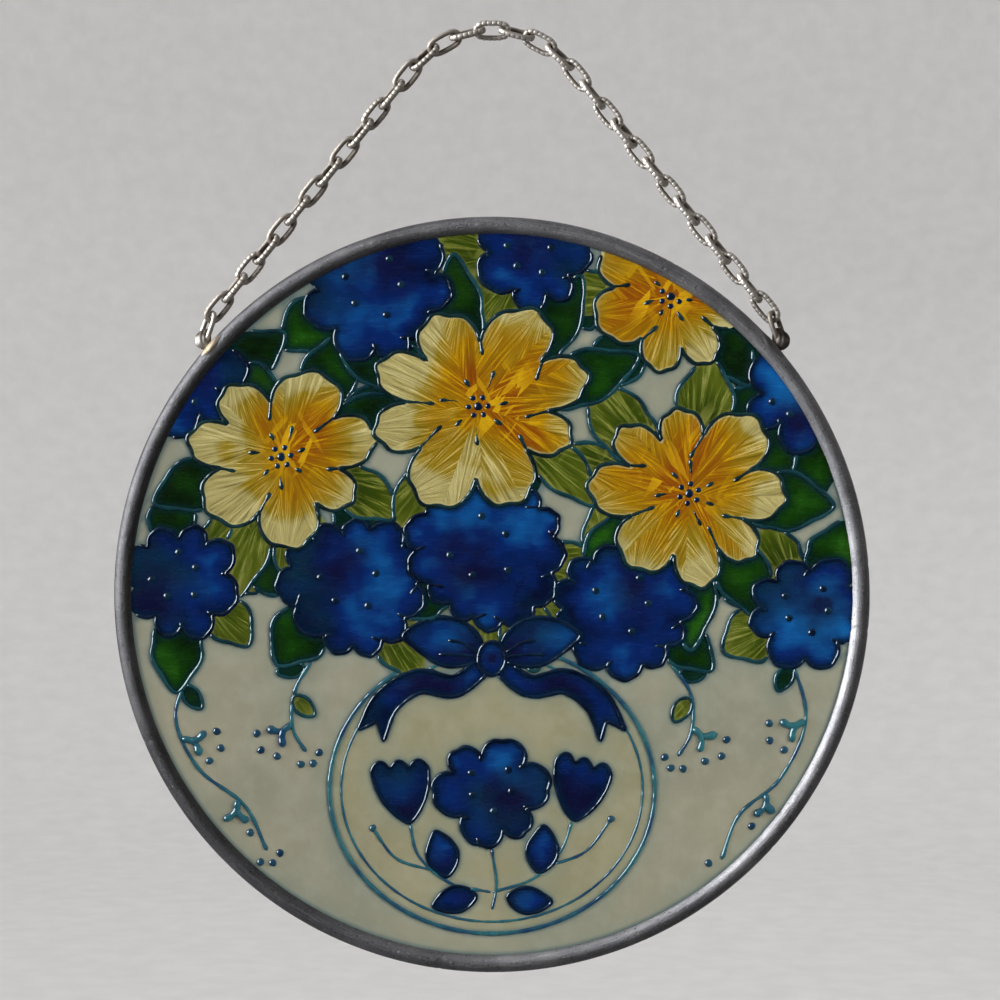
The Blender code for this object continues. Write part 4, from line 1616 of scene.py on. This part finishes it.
def paste_finish(name, dark, light):
    """Glossy hardened paste, a shade uneven along the line."""
    finish = Finish(name, Coat_Weight=0.50, Coat_Roughness=0.12, Specular_IOR_Level=0.50,
                    Specular_Tint=(0.70, 0.87, 1.0, 1.0))
    shade = finish.noise(finish.place(), 150.0, 3.0)
    finish.colour(finish.ramp(shade, (0.36, dark), (0.62, light)))
    finish.roughness(finish.ramp(shade, (0.3, 0.20), (0.7, 0.30)))
    finish.relief(finish.noise(finish.place(), 900.0, 2.0), 0.00003, 0.4)
    return finish


PASTES = {
    "gold": ("gold_flower_lines", paste_finish("paste_over_gold", (0.002, 0.009, 0.010),
                                               (0.005, 0.026, 0.029))),
    "blue": ("blue_flower_lines", paste_finish("paste_over_blue", (0.0005, 0.003, 0.014),
                                               (0.001, 0.010, 0.030))),
    "leaf": ("leaf_lines", paste_finish("paste_over_green", (0.0025, 0.018, 0.027),
                                        (0.006, 0.044, 0.054))),
    "ground": ("stem_lines", paste_finish("paste_over_frosting", (0.008, 0.036, 0.085),
                                          (0.018, 0.100, 0.118))),
}
for group, (name, finish) in PASTES.items():
    piece = add_piece(name, joined_mesh(name, lines[group]), finish)
    print(name, len(piece.data.polygons), "faces")

# %% [markdown]
# ## The dots
# Single drops of the same paste make berries on the tendrils and stamens on the blue flowers.
# A drop pulls itself into a flat dome, so each is a half-round profile turned once, a little
# wider than it is high.

# %% Turn and place the dots
DOT_SIDES = 16
DOT_RINGS = 6
DOT_RISE = 0.78                  # height of a dot over its radius
HEART_DOTS = 6                   # around the middle dot of each gold flower
HEART_RING = 2.15                # mm from the middle dot to the others
BLUE_DOTS = 5                    # scattered on each blue flower


def dot_part(x, y, radius):
    """Points and faces of one drop of paste."""
    height = radius * DOT_RISE
    around = np.linspace(0, 2 * math.pi, DOT_SIDES, endpoint=False)
    rise = np.linspace(0, math.pi / 2, DOT_RINGS, endpoint=False)
    uneven = 1 + 0.05 * np.sin(2 * around + x) + 0.04 * np.sin(3 * around + y)
    rings = [np.array((x, y)) + radius * math.cos(up) ** 0.8 * uneven[:, None] * direction(around)
             for up in rise]
    flat = np.vstack(rings + [np.array([[x, y]])])
    tall = np.concatenate([np.full(DOT_SIDES, height * math.sin(up)) for up in rise] + [[height]])
    faces = [[ring * DOT_SIDES + k, ring * DOT_SIDES + (k + 1) % DOT_SIDES,
              (ring + 1) * DOT_SIDES + (k + 1) % DOT_SIDES, (ring + 1) * DOT_SIDES + k]
             for ring in range(DOT_RINGS - 1) for k in range(DOT_SIDES)]
    last = (DOT_RINGS - 1) * DOT_SIDES
    faces += [[last + k, last + (k + 1) % DOT_SIDES, last + DOT_SIDES] for k in range(DOT_SIDES)]
    faces.append(list(range(DOT_SIDES))[::-1])
    return on_glass(flat, LAYER_GAP + tall), faces


flower_dots = []
for motif in picture:
    if motif.kind == "gold flower":
        flower_dots.append((*motif.heart, 1.0))
        for step in range(HEART_DOTS):
            turn = motif.turn + step * 2 * math.pi / HEART_DOTS
            place = motif.heart + HEART_RING * direction(turn)
            flower_dots.append((*place, 0.72))
    if motif.kind == "blue flower" and motif.reach > SMALL_FLOWER:
        for step in range(BLUE_DOTS):
            spot = motif.heart + motif.reach * (0.34 + 0.14 * (step % 2)) * direction(
                motif.turn + step * GOLDEN_ANGLE)
            if not covered(spot[None], motif.order)[0]:
                flower_dots.append((*spot, 0.92))
shown_berries = [(x, y, radius) for x, y, radius in berries
                 if not covered(np.array([(x, y)]), medallion.order)[0]]

DROPS = {
    "flower_dots": (flower_dots, paste_finish("paste_dots", (0.001, 0.006, 0.022),
                                              (0.002, 0.018, 0.038))),
    "berries": (shown_berries, paste_finish("berry_paste", (0.006, 0.026, 0.060),
                                            (0.014, 0.060, 0.095))),
}
for name, (dots, finish) in DROPS.items():
    dots = [dot for dot in dots if math.hypot(dot[0], dot[1]) < LINE_LIMIT - dot[2]]
    add_piece(name, joined_mesh(name, [dot_part(*dot) for dot in dots]), finish)
    print(name, len(dots))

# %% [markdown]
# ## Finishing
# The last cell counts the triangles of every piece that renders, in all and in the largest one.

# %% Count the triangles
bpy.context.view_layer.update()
triangles = {piece.name: sum(len(face.vertices) - 2 for face in piece.data.polygons)
             for piece in bpy.data.objects if piece.type == "MESH" and not piece.hide_render}
print("triangles:", sum(triangles.values()), "most in one piece:", max(triangles.values()))
